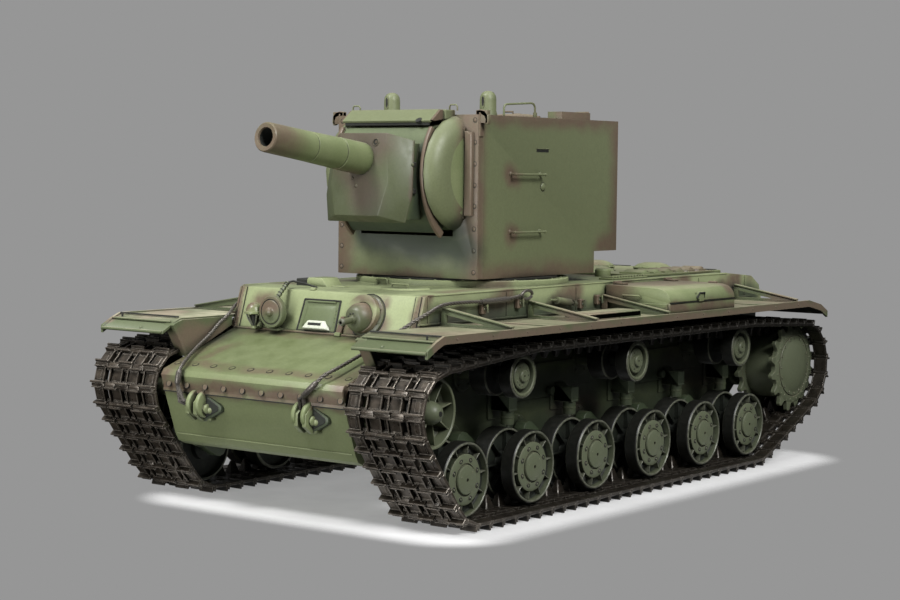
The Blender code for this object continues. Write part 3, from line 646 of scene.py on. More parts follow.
def ringed(form, made, count, radius, height, start=0, slot=0):
    """Copies of a shape spread round local Z, each turned to face outward."""
    pattern = bpy.data.meshes.new("pattern")
    for face in made.faces:
        face.material_index = slot
    made.to_mesh(pattern)
    made.free()
    for i in range(count):
        turn = Matrix.Rotation(math.radians(start + 360 * i / count), 4, "Z")
        mesh = pattern.copy()
        mesh.transform(turn @ at(radius, 0, height))
        form.bm.from_mesh(mesh)
        bpy.data.meshes.remove(mesh)
    bpy.data.meshes.remove(pattern)


def by_radius(tread, lip, face):
    """Material picker for a wheel: 1 on the tread, 2 on the lips, 0 on the face above face, 4 elsewhere."""

    def pick(centre):
        radius = math.hypot(centre.x, centre.y)
        if radius > tread:
            return 1
        if radius > lip:
            return 2
        return 0 if centre.z > face else 4

    return pick


def road_wheel():
    """Twin-rim wheel about its own centre, its outer face towards +Z."""
    form = Form()
    outline = [
        (0, 12.1), (0.75, 12.1), (0.85, 13.2), (5.9, 13.2), (6.6, 12.9), (6.9, 12.4), (6.9, 11.5),
        (7.5, 11.5),
        (7.6, 12), (11.2, 11.9), (11.8, 11.5), (11.9, 8.7), (15.3, 8.9), (15.8, 9.6), (16, 12.3),
        (16.25, 12.6), (16.75, 12.6), (17.1, 12.3), (17.4, 11.9), (17.4, 5.9), (17, 5.4), (16, 5.5),
        (15.6, 7.4), (6.2, 7.6), (5.8, 7), (5.8, -5.4), (6.2, -6), (15.5, -5.8), (15.8, -3.6),
        (16.2, -3.1), (16.8, -3.1), (17.1, -3.3), (17.4, -3.8), (17.4, -12), (17, -12.5), (16, -12.5),
        (15.6, -9.4), (7, -9.2), (6.6, -11.6), (0, -11.8),
    ]
    form.add(lathe(outline, 64), pick=by_radius(17.2, 16.05, 9.9))
    ringed(form, box((-1.9, 1.95), (-0.22, 0.22), (-1.7, 1.4), 0.1), 10, 13.9, 10.2, 9, slot=2)
    ringed(form, box((-1.3, 1), (-1.05, 1.05), (-0.2, 0.75), 0.25), 10, 13.7, 8.9, 27, slot=4)
    ringed(form, lathe([(0, 0.16), (0.62, 0.16), (0.7, -0.2), (0, -0.2)], 12), 10, 13.5, 9.7, 27, slot=3)
    mark = [
        (math.cos(math.radians(t)) * 1.15, math.sin(math.radians(t)) * 1.15, 0) for t in range(-80, 81, 20)
    ]
    ringed(form, tube(mark, 0.25, 6), 8, 9, 12, 22.5, slot=3)
    mark = [(-x, y, z) for x, y, z in mark]
    ringed(form, tube(mark, 0.25, 6), 8, 9.7, 12, 22.5, slot=3)
    ringed(form, bolt(0.5, 0.4), 8, 9.35, 11.95, 22.5)
    ringed(form, dome(0.28, 0.22, 8), 3, 5, 13.2, 40)
    form.add(disc(0.7, 0.1, -0.3, 12), at(0, 0, 12.15), slot=3)
    ringed(form, box((-4.3, 4.6), (-0.35, 0.35), (-1, 2.2), 0.1), 8, 10.6, -5.6, slot=4)
    return form.mesh("road_wheel")


def return_roller():
    """Twin-rim return roller about its own centre, its outer face towards +Z."""
    form = Form()
    outline = [
        (0, 12), (0.5, 12), (0.55, 13.1), (2.5, 13.1), (2.8, 12.8), (3, 11.8), (5.9, 11.7), (6.4, 11.3),
        (6.6, 9.3), (7.8, 9.3), (8.1, 9.8), (8.3, 12.2), (8.7, 12.5), (9.5, 12.5), (9.6, 12.2), (9.8, 12.2),
        (9.9, 12.5), (10.2, 12.5), (10.6, 12.1), (10.6, 5.6), (10.2, 5.2), (9.2, 5.2), (8.8, 6.2),
        (4.2, 6.4),
        (4, 6), (4, -3), (9, -3), (9.6, -2.6), (10.2, -2.6), (10.6, -3), (10.6, -11.8),
        (10.2, -12.2), (8.8, -12.2), (8.4, -9), (4, -9), (3.6, -12), (0, -12.2),
    ]
    form.add(lathe(outline, 48), pick=by_radius(10.4, 9.75, 9.1))
    ringed(form, dome(0.5, 0.4, 8), 6, 4.6, 11.75, 30)
    ringed(form, disc(0.42, 0.08, -0.2, 10), 3, 4.7, 11.75, 0, slot=3)
    form.add(disc(0.5, 0.1, -0.3, 12), at(0, 0, 12.05), slot=3)
    return form.mesh("return_roller")


def idler_wheel():
    """Open front wheel: a deep ring on thin ribs round a domed hub."""
    form = Form()
    ring = [
        (16.6, 4.6), (16.6, 11.9), (16.2, 12.5), (15.6, 12.5), (15.2, 12.1), (15, 6.4), (13.4, 5.4),
        (13.4, 4.2), (15.6, 4),
    ]
    form.add(lathe(ring, 64, ring=True), pick=by_radius(16.5, 99, 0))
    form.add(lathe([(r, -z) for r, z in ring], 64, ring=True), pick=by_radius(16.5, 99, 0))
    form.add(washer(11.2, 12.2, -5, 3.4, 48), slot=4)
    form.add(washer(5, 14.4, -4.6, -5.4, 48), slot=4)
    hub = [(0, 14.8), (1.15, 14.8), (1.25, 16.5), (2.4, 16.2), (3.9, 15), (5.1, 12.6), (5.6, 9.6), (5.6, 3)]
    form.add(lathe(hub + [(5, 2.6), (5, -12), (4.6, -12.4), (0, -12.4)], 40))
    ringed(form, box((-5.6, 5.3), (-0.3, 0.3), (-4.2, 3.2), 0.12), 8, 10.3, 8, 12)
    ringed(form, box((-4.9, 5.3), (-0.3, 0.3), (-3.2, 3.2), 0.12), 8, 10.3, -7.6, 12, slot=4)
    form.add(disc(1.25, 0.1, -0.3, 16), at(0, 0, 16.45), slot=3)
    return form.mesh("idler_wheel")


def toothed(root, tip, teeth, thickness):
    """Outline of a toothed ring with round roots and narrow tips."""
    points = []
    for i in range(teeth):
        for share, radius in ((0, root), (0.14, root), (0.24, root + 1.1), (0.37, tip - 0.4), (0.43, tip)):
            points.append((share, radius, i))
        for share, radius in ((0.57, tip), (0.63, tip - 0.4), (0.76, root + 1.1), (0.86, root)):
            points.append((share, radius, i))
    turns = [(2 * math.pi * (i + share) / teeth, radius) for share, radius, i in points]
    outline = [(radius * math.cos(t), radius * math.sin(t)) for t, radius in turns]
    return prism(outline, -thickness / 2, thickness / 2, "Z", 0.2)


def sprocket_wheel():
    """Rear drive wheel: two toothed rings on a drum, with a bolted, slightly domed outer disc."""
    form = Form()
    form.add(toothed(21.8, SPROCKET_TIP, SPROCKET_TEETH, 2.6), at(0, 0, 10.6))
    form.add(toothed(21.8, SPROCKET_TIP, SPROCKET_TEETH, 2.6), at(0, 0, -11.1))
    face = [
        (0, 15), (6, 14.8), (11, 14), (14.6, 12.9), (15.2, 12.6), (17.1, 12.5), (17.3, 12.3),
        (17.3, 11.6), (17.9, 11.6), (18.1, 12.3), (21.2, 12.2), (21.8, 11.8), (21.8, 9), (19, 8.6),
    ]
    drum = [(19, -9.2), (21.6, -9.6), (21.6, -12), (8, -12.4), (7.4, -14), (0, -14)]
    form.add(lathe(face + drum, 64))
    ringed(form, dome(0.62, 0.45, 8), 16, 19.7, 12.25, 11.25)
    ringed(form, dome(0.42, 0.35, 8), 16, 20.9, 12.15, 0)
    ringed(form, bolt(0.62, 0.5), 16, 16, 12.5, 0)
    ringed(form, disc(0.85, 0.06, -0.2, 12), 16, 16, 12.53, 0, slot=3)
    return form.mesh("sprocket_wheel")


def running_gear():
    """Both tracks, and each wheel, roller, idler, sprocket and arm on its own body."""
    meshes = {"road_wheel": road_wheel(), "return_roller": return_roller()}
    meshes.update(idler=idler_wheel(), drive_sprocket=sprocket_wheel())
    finishes = [WHEEL, TYRE, RIM, BLACK, DARK]
    for name, side in SIDES:
        piece(f"links_{name}", track(side), "hull", [TRACK], [f"track_{name}"], smooth=30)
        spots = [("idler", f"idler_{name}", f"idler_{name}", *IDLER)]
        spots += [("drive_sprocket", f"drive_sprocket_{name}", f"sprocket_{name}", *SPROCKET)]
        for i, y in enumerate(WHEEL_Y, 1):
            spots.append(("road_wheel", f"road_wheel_{name}_{i}", f"wheel_{name}_{i}", y, WHEEL_Z))
        for i, y in enumerate(ROLLER_Y, 1):
            spots.append(("return_roller", f"return_roller_{name}_{i}", f"roller_{name}_{i}", y, ROLLER_Z))
        for kind, node, body, y, z in spots:
            where = at(TRACK_X * side, y, z) @ outward(side)
            piece(f"{node}_detailed", meshes[kind], body, finishes, [node], where)
        for i in range(1, 7):
            arm = f"swing_arm_{name}_{i}"
            piece(f"{arm}_cast", refined(arm, 0.4, 2), f"arm_{name}_{i}", [DIM], [arm])


running_gear()


# ---------------------------------------------------------------- turret


def seated(form, point, normal, radius, height):
    """Flush screw: a low dome in a dark ring."""
    form.add(dome(radius, height, 14), aim(point, normal))
    form.add(washer(radius, radius + 0.28, 0.06, -0.2, 16), aim(point, normal), 1)


def turret_strokes():
    """Brown round the plates' edges and the grab rods' feet."""
    low, high, front, rear, half = 109, ROOF_Z, TURRET_FRONT, 52, TURRET_HALF
    strokes = [
        ((-half, front, 104), (-half, front, 152), 9), ((-half, front, 152), (-half, front, high), 4),
    ]
    strokes += [
        ((-half, front, low - 3), (20, front, low - 3), 5), ((40, front, 135), (40, front, high), 6),
    ]
    for x in (half, -half):
        strokes += [
            ((x, front, low - 2), (x, 30, low - 2), 8),
            ((x, front - 2, low), (x, front - 2, high), 7),
            ((x, front, high + 2), (x, rear, high + 2), 6.5),
            ((x, rear + 3, 124), (x, rear + 3, high), 8.5),
            ((x, 38, 119), (x, 54, 125), 8.5),
        ]
        for z in (160, 130.5):
            strokes.append(((x, -49, z), (x, -46, z), 5))
    strokes += [((-40, front + 3, high), (40, front + 3, high), 5), ((0, rear, 116), (0, rear, 118), 10)]
    strokes += [((-38, rear, high), (38, rear, high), 9), ((10, -10, high), (26, 24, high), 14)]
    return strokes


def periscope(form, x, y):
    """Domed post with a tall dark slot in front."""
    body = [
        (0, 203.4), (1.6, 203.2), (3, 202.4), (3.9, 201), (4.2, 199), (4.25, 193.4), (4.7, 191.6),
        (4.8, ROOF_Z), (0, ROOF_Z),
    ]
    form.add(lathe(body, 40), at(x, y, 0))
    rim = [(2.3, 0.35), (2.3, -0.8), (1.75, -0.8), (1.75, 0.35)]
    tall = facing_front(x, y - 4.15, 198) @ Matrix.Diagonal((0.46, 1.45, 1, 1))
    form.add(lathe(rim, 24, ring=True), tall)
    form.add(disc(1.8, 0.3, -1, 24), tall, 1)


def grab_rod(form, x, side, y, z):
    """Straight rod on two stalks, along a turret side."""
    out = x + 3.6 * side
    form.add(tube([(out, y[0] - 1.2, z), (out, y[1] + 0.8, z)], 0.55, 10))
    for foot in y:
        form.add(tube([(x - 0.4 * side, foot, z + 0.2), (out, foot, z)], 0.6, 10))
        form.add(dome(1.3, 0.7), aim((x, foot, z + 0.2), (side, 0, 0)))
        form.add(dome(0.85, 0.5, 10), aim((out, foot, z), (side, 0, 0)))


def turret_front(form):
    """Bolt columns, the edge strips beside the opening and the cheek discs."""
    half = TURRET_HALF
    for side in (1, -1):
        for z in (187.8, 176.8, 166.2, 155.6, 145.2, 134, 123.2, 112.4):
            seated(form, (42.9 * side, TURRET_FRONT, z), (0, -1, 0), 1, 0.3)
        shape = [(38 * side, 140.4), (42.2 * side, 140.4), (42.2 * side, 180.8), (39.2 * side, 182.4)]
        form.add(prism(shape + [(38 * side, 182.4)], -78.4, -75.8, "Y", 0.35))
        form.add(box((half * side, (half + 0.35) * side), (TURRET_FRONT, -71.4), (109.2, 190.3), 0.15))
        form.add(box((half * side, (half + 0.08) * side), (-71.4, -71.15), (109.2, 190.3), 0), slot=1)
        face = [
            (0, 7.7), (15, 7.7), (19.5, 7.5), (22.6, 7), (25, 6), (26.9, 4.6), (28.2, 2.8), (28.9, 0.8),
            (29.15, -0.2), (29, -0.4), (0, -0.4),
        ]
        form.add(lathe(face, 96), at(30 * side, -68.2, 161.4) @ outward(side), 2)
        form.add(box((37 * side, 37.6 * side), (-78, -71), (139, 184), 0.2))


def turret_sides(form):
    """Grab rods, vision slit, pistol plug and lifting hook on each side."""
    half = TURRET_HALF
    for side in (1, -1):
        x = half * side
        for z in (161.3, 132):
            grab_rod(form, x, side, (-48.2, -22.2), z)
        form.add(box((x - side, x + 0.06 * side), (-25.6, -14.6), (172.8, 174.3), 0.02), slot=1)
        form.add(box((x, x + 0.25 * side), (-26.2, -14), (174.4, 174.8), 0.1))
        plug = aim((x, -19.4, 155), (side, 0, 0))
        form.add(dome(2.1, 0.9, 20), plug)
        form.add(washer(2.1, 2.4, 0.05, -0.1, 20), plug, 1)
        hook = [(43, 190.3), (46.2, 190.4), (47.9, 189.6), (48.6, 187.9), (48.4, 186.2), (49.9, 185.6)]
        hook += [(50.6, 187.6), (50.2, 190.4), (48.2, 192.4), (45.4, 193), (43, 192.6)]
        form.add(prism([(a * side, b) for a, b in hook], -75.6, -73, "Y", 0.3))
        form.add(box((x, x + side), (-76, -72.6), (179.6, 191.6), 0.3))


def turret_roof(form):
    """Two periscopes with lifting loops, a rail, a wedge with its glass, a vent and rows of screws."""
    for x in (31.3, -31.3):
        periscope(form, x, -49.7)
        loop = [
            (x - 2.4, -78.6, 192.4), (x - 2.4, -78.6, 194.6), (x - 1.7, -78.6, 195.4),
            (x + 1.5, -78.6, 195.4),
        ]
        form.add(tube(loop + [(x + 2.4, -78.6, 194.4), (x + 2.4, -78.6, 192.4)], 0.42))
    rail = [(30, -34, 190.2), (30, -34, 195.4), (30, -33.2, 196.8), (30, -31.6, 197.3), (30, -9.6, 198.6)]
    form.add(tube(rail + [(30, -7.4, 198.2), (30, -6.2, 196.6), (30, -6, 190.2)], 0.55, 10))
    form.add(tube([(30, -6, 190.2), (30, -6, 193.8)], 1.05, 12))
    wedge = [(34, 4, 190.4), (43, 4, 190.4), (34, 24, 190.4), (43, 24, 190.4)]
    wedge += [(35, 8, 193.4), (42, 8, 193.4), (34.6, 27.4, 195.2), (42.4, 27.4, 195.2)]
    form.add(hull_of(wedge, 0.4))
    glass = []
    for low, high in ((25, 27.8), (24, 27)):
        glass += [(35.2, low, 191.2), (41.8, low, 191.2), (35.4, high, 194.6), (41.6, high, 194.6)]
    form.add(hull_of(glass, 0.05), slot=1)
    form.add(washer(13.6, 14.4, 0.5, -0.2, 40), at(*HATCH, ROOF_Z))
    form.add(lathe([(5, 0.9), (5.6, 0.6), (5.6, -0.2), (0, -0.2), (0, 0.9)], 32), at(-16, 14, ROOF_Z))
    for x, y in spread((-16, 14), 4.4, 6, 10):
        form.add(dome(0.4, 0.3, 8), at(x, y, ROOF_Z + 0.75))
    for x in (-42, 42):
        for y in (-66, -44, -22, 0, 22, 44):
            seated(form, (x, y, ROOF_Z), (0, 0, 1), 0.7, 0.2)


def turret_rear(form):
    """Rear wall: hatch door with hinges and a bolt frame, a ball mount and a row of bolts."""
    y = 52
    form.add(box((-24, 8), (y, y + 1.5), (128, 176), 0.6, 2))
    form.add(box((-25, 9), (y, y + 0.15), (127, 177), 0), slot=1)
    for z in (138, 166):
        form.add(box((-29, -20), (y + 0.6, y + 2.4), (z - 2.2, z + 2.2), 0.5))
        form.add(tube([(-25.6, y + 1.8, z - 4), (-25.6, y + 1.8, z + 4)], 1.3, 12))
    form.add(
        lathe([(0, 1.2), (2.4, 1), (3, 0.2), (3, -0.2), (0, -0.2)], 24), aim((-8, y + 1.5, 152), (0, 1, 0)),
    )
    form.add(
        lathe([(0, 1.6), (7, 1.6), (8.2, 0.8), (8.4, -0.2), (0, -0.2)], 36), aim((25, y, 156), (0, 1, 0)),
    )
    form.add(dome(5, 4.6, 24), aim((25, y + 1.4, 156), (0, 1, 0)))
    form.add(tube([(25, y + 4.6, 156), (25, y + 11, 156.4)], 1, 12), slot=3)
    for x, z in spread((25, 156), 6.6, 8, 22):
        form.add(dome(0.5, 0.4, 8), aim((x, y + 1.5, z), (0, 1, 0)))
    for side in (1, -1):
        for z in (124, 135, 146, 168, 179, 187):
            seated(form, (42.4 * side, y, z), (0, 1, 0), 0.9, 0.25)
    form.add(box((-44, 44), (y - 0.2, y + 0.3), (120.9, 122.4), 0.1))


def rain_guard(form):
    """Bent sheet over the gun opening, with end webs and a small half-round notch."""
    sheet = [(-75, 190.2), (-75, 193), (-86.4, 193), (-93.6, 187.3), (-92.9, 186.2), (-85.9, 191.6)]
    sheet += [(-77.4, 191.6), (-77.4, 190.2)]
    form.add(prism(sheet, -28.1, 28.1, "X", 0.2))
    web = [(-76, 190), (-76, 192.8), (-86.3, 192.8), (-93, 187.5), (-90.8, 187), (-80, 188.6)]
    for side in (1, -1):
        form.add(prism(web, 27.6 * side, 29 * side, "X", 0.2), slot=3)
        form.add(box((28.2 * side, 30.6 * side), (-84, -76), (188, 192.9), 0.4))
    form.add(box((-27.1, 27.1), (-92.7, -92), (184.9, 186.9), 0.15), slot=1)
    form.add(disc(1.7, 0.2, -0.9, 20), aim((21, -93.4, 187.5), (0, -0.62, 0.78)), 1)


# Turret olive, darkened as painted shade.
TURRET_SHADE_GREEN = (0.148, 0.168, 0.088, 1)


def turret():
    """Turret shell with its fittings, the ring below it and the roof hatch."""
    under_gun = [
        ((-26, TURRET_FRONT, 131), (36, TURRET_FRONT, 124), 9),
        ((-5, TURRET_FRONT, 134), (32, TURRET_FRONT, 134), 8),
    ]
    shell = paint("turret_paint", turret_strokes(), base=TURRET_SHADE_GREEN, shade=under_gun)
    cheek = paint(
        "cheek_paint", [((30, -84, 132), (30, -98, 150), 8), ((-30, -84, 132), (-30, -98, 150), 8)],
    )
    piece("turret_shell_rounded", refined("turret_shell", 0.35, 2, 40), "turret", [shell], ["turret_shell"])
    groups = {
        "turret_front_fittings": turret_front,
        "turret_side_fittings": turret_sides,
        "turret_roof_fittings": turret_roof,
        "turret_rear_fittings": turret_rear,
        "rain_guard": rain_guard,
    }
    for name, build in groups.items():
        form = Form()
        build(form)
        obj = piece(name, form, "turret", [shell, BLACK, cheek, BROWNISH])
    ring = Form()
    profile = [(50.4, 108.6), (50.4, 107.9), (45.8, 107.9), (45.8, 99), (42, 99), (42, 108.6)]
    ring.add(lathe(profile, 96, ring=True), at(0, RING_Y, 0))
    piece("turret_ring_turned", ring, "turret", [BLACK], ["turret_ring"])
    lid = Form()
    face = [(0, 193.4), (7, 193.3), (10.4, 192.9), (12.4, 192.2), (13.2, 191.4), (13.2, 190.9), (0, 190.9)]
    lid.add(lathe(face, 56), at(*HATCH, 0))
    lid.add(box((8.2, 15.8), (13.2, 17.8), (191, 193), 0.4))
    lid.add(tube([(7, 17, 191.9), (17, 17, 191.9)], 0.9, 12))
    lid.add(staple((9, 15), -5, (192.6, 194.4)))
    lid.add(lathe([(0, 0.5), (2.2, 0.4), (2.6, 0), (2.6, -0.4), (0, -0.4)], 24), at(12, 3, 193.3))
    piece("turret_hatch_lid", lid, "turret_lid", [shell, BLACK], ["turret_hatch"])


# ---------------------------------------------------------------- gun

SHIELD_GREEN = (0.110, 0.138, 0.066, 1)
# Recoil housing tones, darkened as painted shade.
HOUSING_SHADE_GREEN = (0.080, 0.092, 0.048, 1)
HOUSING_SHADE_BROWN = (0.090, 0.072, 0.050, 1)


def hexagon(halves, heights, front):
    """Six corners of an upright face: half widths at three heights, and y from front(z)."""
    corners = list(zip(halves, heights))
    return [(x, front(z), z) for x, z in corners] + [(-x, front(z), z) for x, z in corners[::-1]]


def mantlet():
    """Curved shield between two cheek rims, with the recoil housing, its bolts and sight in front."""
    slope = math.tan(GUN_TILT)
    form = Form()
    centre = (TRUNNION.y, TRUNNION.z)
    curve = arc(centre, MANTLET_R - 1.6, 144, 229, 44) + arc(centre, MANTLET_R - 7.5, 229, 238, 4)
    form.add(prism(curve + [(-76, 140), (-78, 186)], -29, 29, "X", 0), slot=2)
    rim = arc(centre, MANTLET_R, 145, 232, 48) + arc(centre, MANTLET_R - 3.6, 232, 145, 48)
    for side in (1, -1):
        form.add(prism(rim, 27.4 * side, 29.4 * side, "X", 0.35, 2), slot=3)
    front = hexagon((15, 18.2, 13.8), (181, 156.6, 140.2), lambda z: -110.6 - (181 - z) * slope)
    rear = hexagon((25.6, 27.2, 24.6), (177.4, 150, 137), lambda z: -103 - (177.4 - z) * slope)
    form.add(hull_of(front + rear, 0.45, 2))
    back = [(x, y + 1.4, z) for x, y, z in rear]
    form.add(hull_of(rear + back, 0.3))
    neck = [(x * 0.93, y, 157.6 + (z - 157.6) * 0.93) for x, y, z in back]
    form.add(hull_of(neck + [(x, y + 14, z) for x, y, z in neck], 0.2), slot=2)
    for side in (1, -1):
        for z in (165.4, 152.4):
            form.add(dome(1, 0.9), aim((26 * side, -103.6 - (177.4 - z) * slope * 0.4, z), (side, 0.5, 0)))
            form.add(box((23 * side, 26.8 * side), (-104.2, -101.6), (z - 1.3, z + 1.3), 0.4), slot=1)
    facing = (0, -math.cos(GUN_TILT), math.sin(GUN_TILT))
    for x, z in ((-4.3, 158.6), (-1.7, 154.7)):
        form.add(dome(0.9, 0.6), aim((x, -110.6 - (181 - z) * slope, z), facing))
    eye = aim((8.6, -110.6 - 4.6 * slope, 176.4), facing)
    form.add(lathe([(1.5, 0.35), (1.9, 0.3), (1.9, -0.3), (1.5, -0.3)], 20, ring=True), eye)
    form.add(disc(1.5, 0.1, -0.3, 20), eye, 1)
    form.add(lathe([(0, 0.3), (0.75, 0.25), (0.75, -0.3), (0, -0.3)], 12), eye @ at(0.3, 0, 0))
    form.add(washer(8.1, 8.75, 0.08, -0.4, 48), muzzle_frame(51.6), 1)
    form.add(box((-12, 12), (-80, -57), (152, 170), 0.5), slot=1)
    form.add(tube([(-42, TRUNNION.y, TRUNNION.z), (42, TRUNNION.y, TRUNNION.z)], 4, 20))
    strokes = [((-14, -112, 178), (8, -112, 176), 10), ((-6, -112, 166), (5, -113, 150), 9)]
    strokes += [((26.5, -103, 176), (27.5, -106, 150), 1.6)]
    strokes += [((-20, -100, 178), (20, -100, 178), 3), ((0, -110, 132), (0, -112, 130), 7)]
    shade = [
        ((-30, -86, 128), (30, -86, 128), 12), ((26, -96, 138), (26, -99, 156), 7),
        ((26, -99, 156), (26, -96, 172), 3.5),
    ]
    below = [((-20, -106, 133), (24, -104, 133), 4), ((28, -100, 142), (28, -102, 134), 4)]
    housing = paint("mantlet_paint", strokes, base=HOUSING_SHADE_GREEN, over=HOUSING_SHADE_BROWN, shade=below)
    shield = paint("shield_paint", base=SHIELD_GREEN, shade=shade)
    piece("mantlet_shield", form, "gun", [housing, BLACK, shield, BROWNISH], ["mantlet"])


def muzzle_frame(distance):
    """Matrix on the bore's axis, local Z towards the muzzle, that far from the trunnion."""
    ahead = Vector((0, -math.cos(GUN_TILT), math.sin(GUN_TILT)))
    return aim(TRUNNION + ahead * distance, ahead)


def gun_barrel():
    """Short stepped barrel with two seams and an open bore."""
    form = Form()
    seam = 0.16
    outline = [(0, 78), (4.3, 78), (4.35, 121.6), (4.7, 122.6), (6.5, 122.8), (7, 122.2), (7.1, 121)]
    outline += [
        (7.35, 92.6), (7.15, 92.35), (7.15, 92.05), (7.4, 91.8), (7.75, 71.9), (7.5, 71.6), (7.5, 71.3),
    ]
    outline += [(7.9, 71), (8.05, 52), (8, 46.3), (0, 46.3)]

    def pick(centre):
        radius = math.hypot(centre.x, centre.y)
        groove = any(abs(centre.z - z) < seam for z in (92.2, 71.45))
        return 1 if groove or (radius < 4.5 and centre.z < 120) else 0

    form.add(lathe(outline, 72), pick=pick)
    bmesh.ops.transform(form.bm, matrix=muzzle_frame(0), verts=form.bm.verts)
    tip, root = muzzle_frame(121).translation, muzzle_frame(60).translation
    strokes = [
        (tip, muzzle_frame(116).translation, 12),
        (root + Vector((0, 0, -7)), root + Vector((0, -9, -7)), 4.5),
    ]
    finish = paint("barrel_paint", strokes, rough=0.4)
    piece("gun_barrel_turned", form, "gun", [finish, BLACK], ["gun_barrel"])


turret()
mantlet()
gun_barrel()


# ---------------------------------------------------------------- hull


def on_front(x, along, lift=0):
    """Matrix on the sloped front plate: along runs up the plate from its foot, local Z out of it."""
    foot, top = Vector((0, -141.3, 83.8)), Vector((0, -135.4, 103.4))
    up = (top - foot).normalized()
    out = Vector((0, -up.z, up.y))
    spot = foot + up * along + out * lift + Vector((x, 0, 0))
    return Matrix.Translation(spot) @ Matrix((Vector((1, 0, 0)), up, out)).transposed().to_4x4()


# Hull tones: the nose and front plate tones are the olive lightened as painted light; the glacis and deck
# tones darken upward faces as painted shade.
NOSE_LIT_GREEN = (0.172, 0.202, 0.098, 1)
GLACIS_SHADE_GREEN = (0.108, 0.132, 0.054, 1)
PLATE_LIT_GREEN = (0.275, 0.315, 0.165, 1)
DECK_SHADE_GREEN = (0.130, 0.148, 0.080, 1)


def lower_hull():
    """Hull tub with shaded flanks, and the nose's bolt rows, bent strip and seams."""
    edge = [((-57, -190, 66), (-57, -142, 83), 7), ((57, -190, 66), (57, -142, 83), 7)]
    strokes = edge + [
        ((-56, -183.5, 69), (56, -183.5, 69), 3.6), ((-56, -191.5, 58.4), (56, -191.5, 58.4), 3.4),
    ]
    strokes += [((-52, -144, 83), (52, -144, 83), 3.5), ((-44, -176, 72), (-40, -160, 77), 4)]
    for x in (-57, 57):
        strokes += [
            ((x, -130, 60), (x, -118, 44), 7), ((x, -20, 40), (x, 10, 38), 8),
            ((x, 90, 56), (x, 130, 46), 9),
        ]
    shade = []
    for x in (-64, 64):
        shade += [
            ((x, -160, 30), (x, 190, 30), 16), ((x, -166, 52), (x, 190, 52), 14),
            ((x, -150, 76), (x, 190, 76), 14),
        ]
    for x in (-30, 0, 30):
        shade.append(((x, -140, 24), (x, 190, 24), 18))
    finish = paint("lower_hull_paint", strokes, base=NOSE_LIT_GREEN, shade=shade, top=0.9, top_dust_and_light=GLACIS_SHADE_GREEN)
    piece("lower_hull_rounded", refined("lower_hull", 0.5, 2, 24), "hull", [finish], ["lower_hull"])
    form = Form()
    slope = Vector((0, 45.6, 15.8)).normalized()
    above = Vector((0, -slope.z, slope.y))
    for i in range(10):
        x = -54 + 12 * i
        seated(form, (x, -184.2, 68.74), above, 1.4, 0.05)
        seated(form, (x + 1.5, -191.7, 59.5), (0, -0.97, 0.24), 1.4, 0.05)
    form.add(box((-56.9, 56.9), (-190.75, -189.6), (55.4, 56.1), 0.1), slot=1)
    bend = fillet((-174, 72.1), (-193.25, 65.7), (-190.9, 55.9), 4.2, 10)
    skin = [(-174, 72.1), *bend, (-190.9, 55.9), (-189.8, 56), (-190.6, 64.4), (-174, 70)]
    form.add(prism(skin, -57.3, 57.3, "X", 0.3, 2))
    form.add(box((-55.5, 55.5), (-183.15, -181), (34.1, 34.7), 0.1))
    for x in (-57.1, 57.1):
        form.add(tube([(x, -189.5, 65.9), (x, -142, 82.6)], 0.55, 8))
    form.add(tube([(-56.5, -141.9, 83.6), (56.5, -141.9, 83.6)], 0.7, 8))
    piece("nose_fittings", form, "hull", [finish, BLACK])
    hull_sides(finish)


def hull_sides(finish):
    """Roller mounts, side plates, bump stops, arm pivots and the seats of idler and sprocket."""
    form = Form()
    for side in (1, -1):
        m = both(side)
        for y in ROLLER_Y:
            form.add(boss(7.2, 1.6, 0.6, -0.5, 32), m @ at(57, y + 1, ROLLER_Z - 3) @ outward(1))
            form.add(
                lathe([(0, 9.5), (3.4, 9.5), (4.6, 2), (4.6, 0), (0, 0)], 24),
                m @ at(58, y, ROLLER_Z) @ outward(1),
            )
            for spot in spread((y + 1, ROLLER_Z - 3), 5.5, 4, 45):
                form.add(bolt(0.8, 0.7), m @ aim((58.6, *spot), (1, 0, 0)))
        for y in (-60, 49):
            plate = [(y, 48.2), (y + 34.6, 48.2), (y + 34.6, 52.8), (y + 68, 52.8), (y + 68, 66), (y, 66)]
            form.add(prism(plate, 56.5, 58.4, "X", 0.25), m)
            form.add(
                lathe([(0, 3.4), (1.9, 3.4), (2.2, 3), (2.2, -0.5), (0, -0.5)], 20),
                m @ aim((58.2, y + 28, 51.6), (1, 0, 0)),
            )
        for y in WHEEL_Y:
            stop = [
                (0, 7.2), (2.7, 7.2), (3.3, 6.6), (3.3, 4.2), (3.5, 4), (3.5, 3.4), (3.3, 3.2), (3.3, 0.4),
                (2.9, 0), (0, 0),
            ]
            form.add(lathe(stop, 24), m @ at(65.6, y + 18.4, 38.8))
            arm = [(57, 47), (57, 55), (60.4, 55), (69.2, 46.6), (69.2, 45.4), (57, 45.4)]
            form.add(prism(arm, y + 15.2, y + 21.6, "Y", 0.4), m)
            form.add(box((56.6, 58.2), (y + 12.8, y + 24), (41, 58), 0.3), m)
            form.add(boss(8, 1.5, 0.6, -0.5, 32), m @ aim((56.8, y - 17, 34), (1, 0, 0)))
            for spot in spread((y - 17, 34), 6.4, 6, 20):
                form.add(bolt(0.7, 0.6), m @ aim((58.2, *spot), (1, 0, 0)))
        form.add(boss(9.4, 2.6, 0.8, -0.5, 36), m @ aim((56.8, *IDLER), (1, 0, 0)))
        form.add(box((56.6, 60.6), (-166, -152), (50, 61), 0.8, 2), m)
        form.add(
            lathe([(5.2, 2.2), (13, 2.2), (14, 1.2), (14, -0.5), (5.2, -0.5)], 40, ring=True),
            m @ aim((56.9, *SPROCKET), (1, 0, 0)),
        )
        for spot in spread(SPROCKET, 11.6, 10):
            form.add(bolt(0.8, 0.7), m @ aim((59, *spot), (1, 0, 0)))
    piece("hull_side_fittings", form, "hull", [finish, BLACK, DARK])


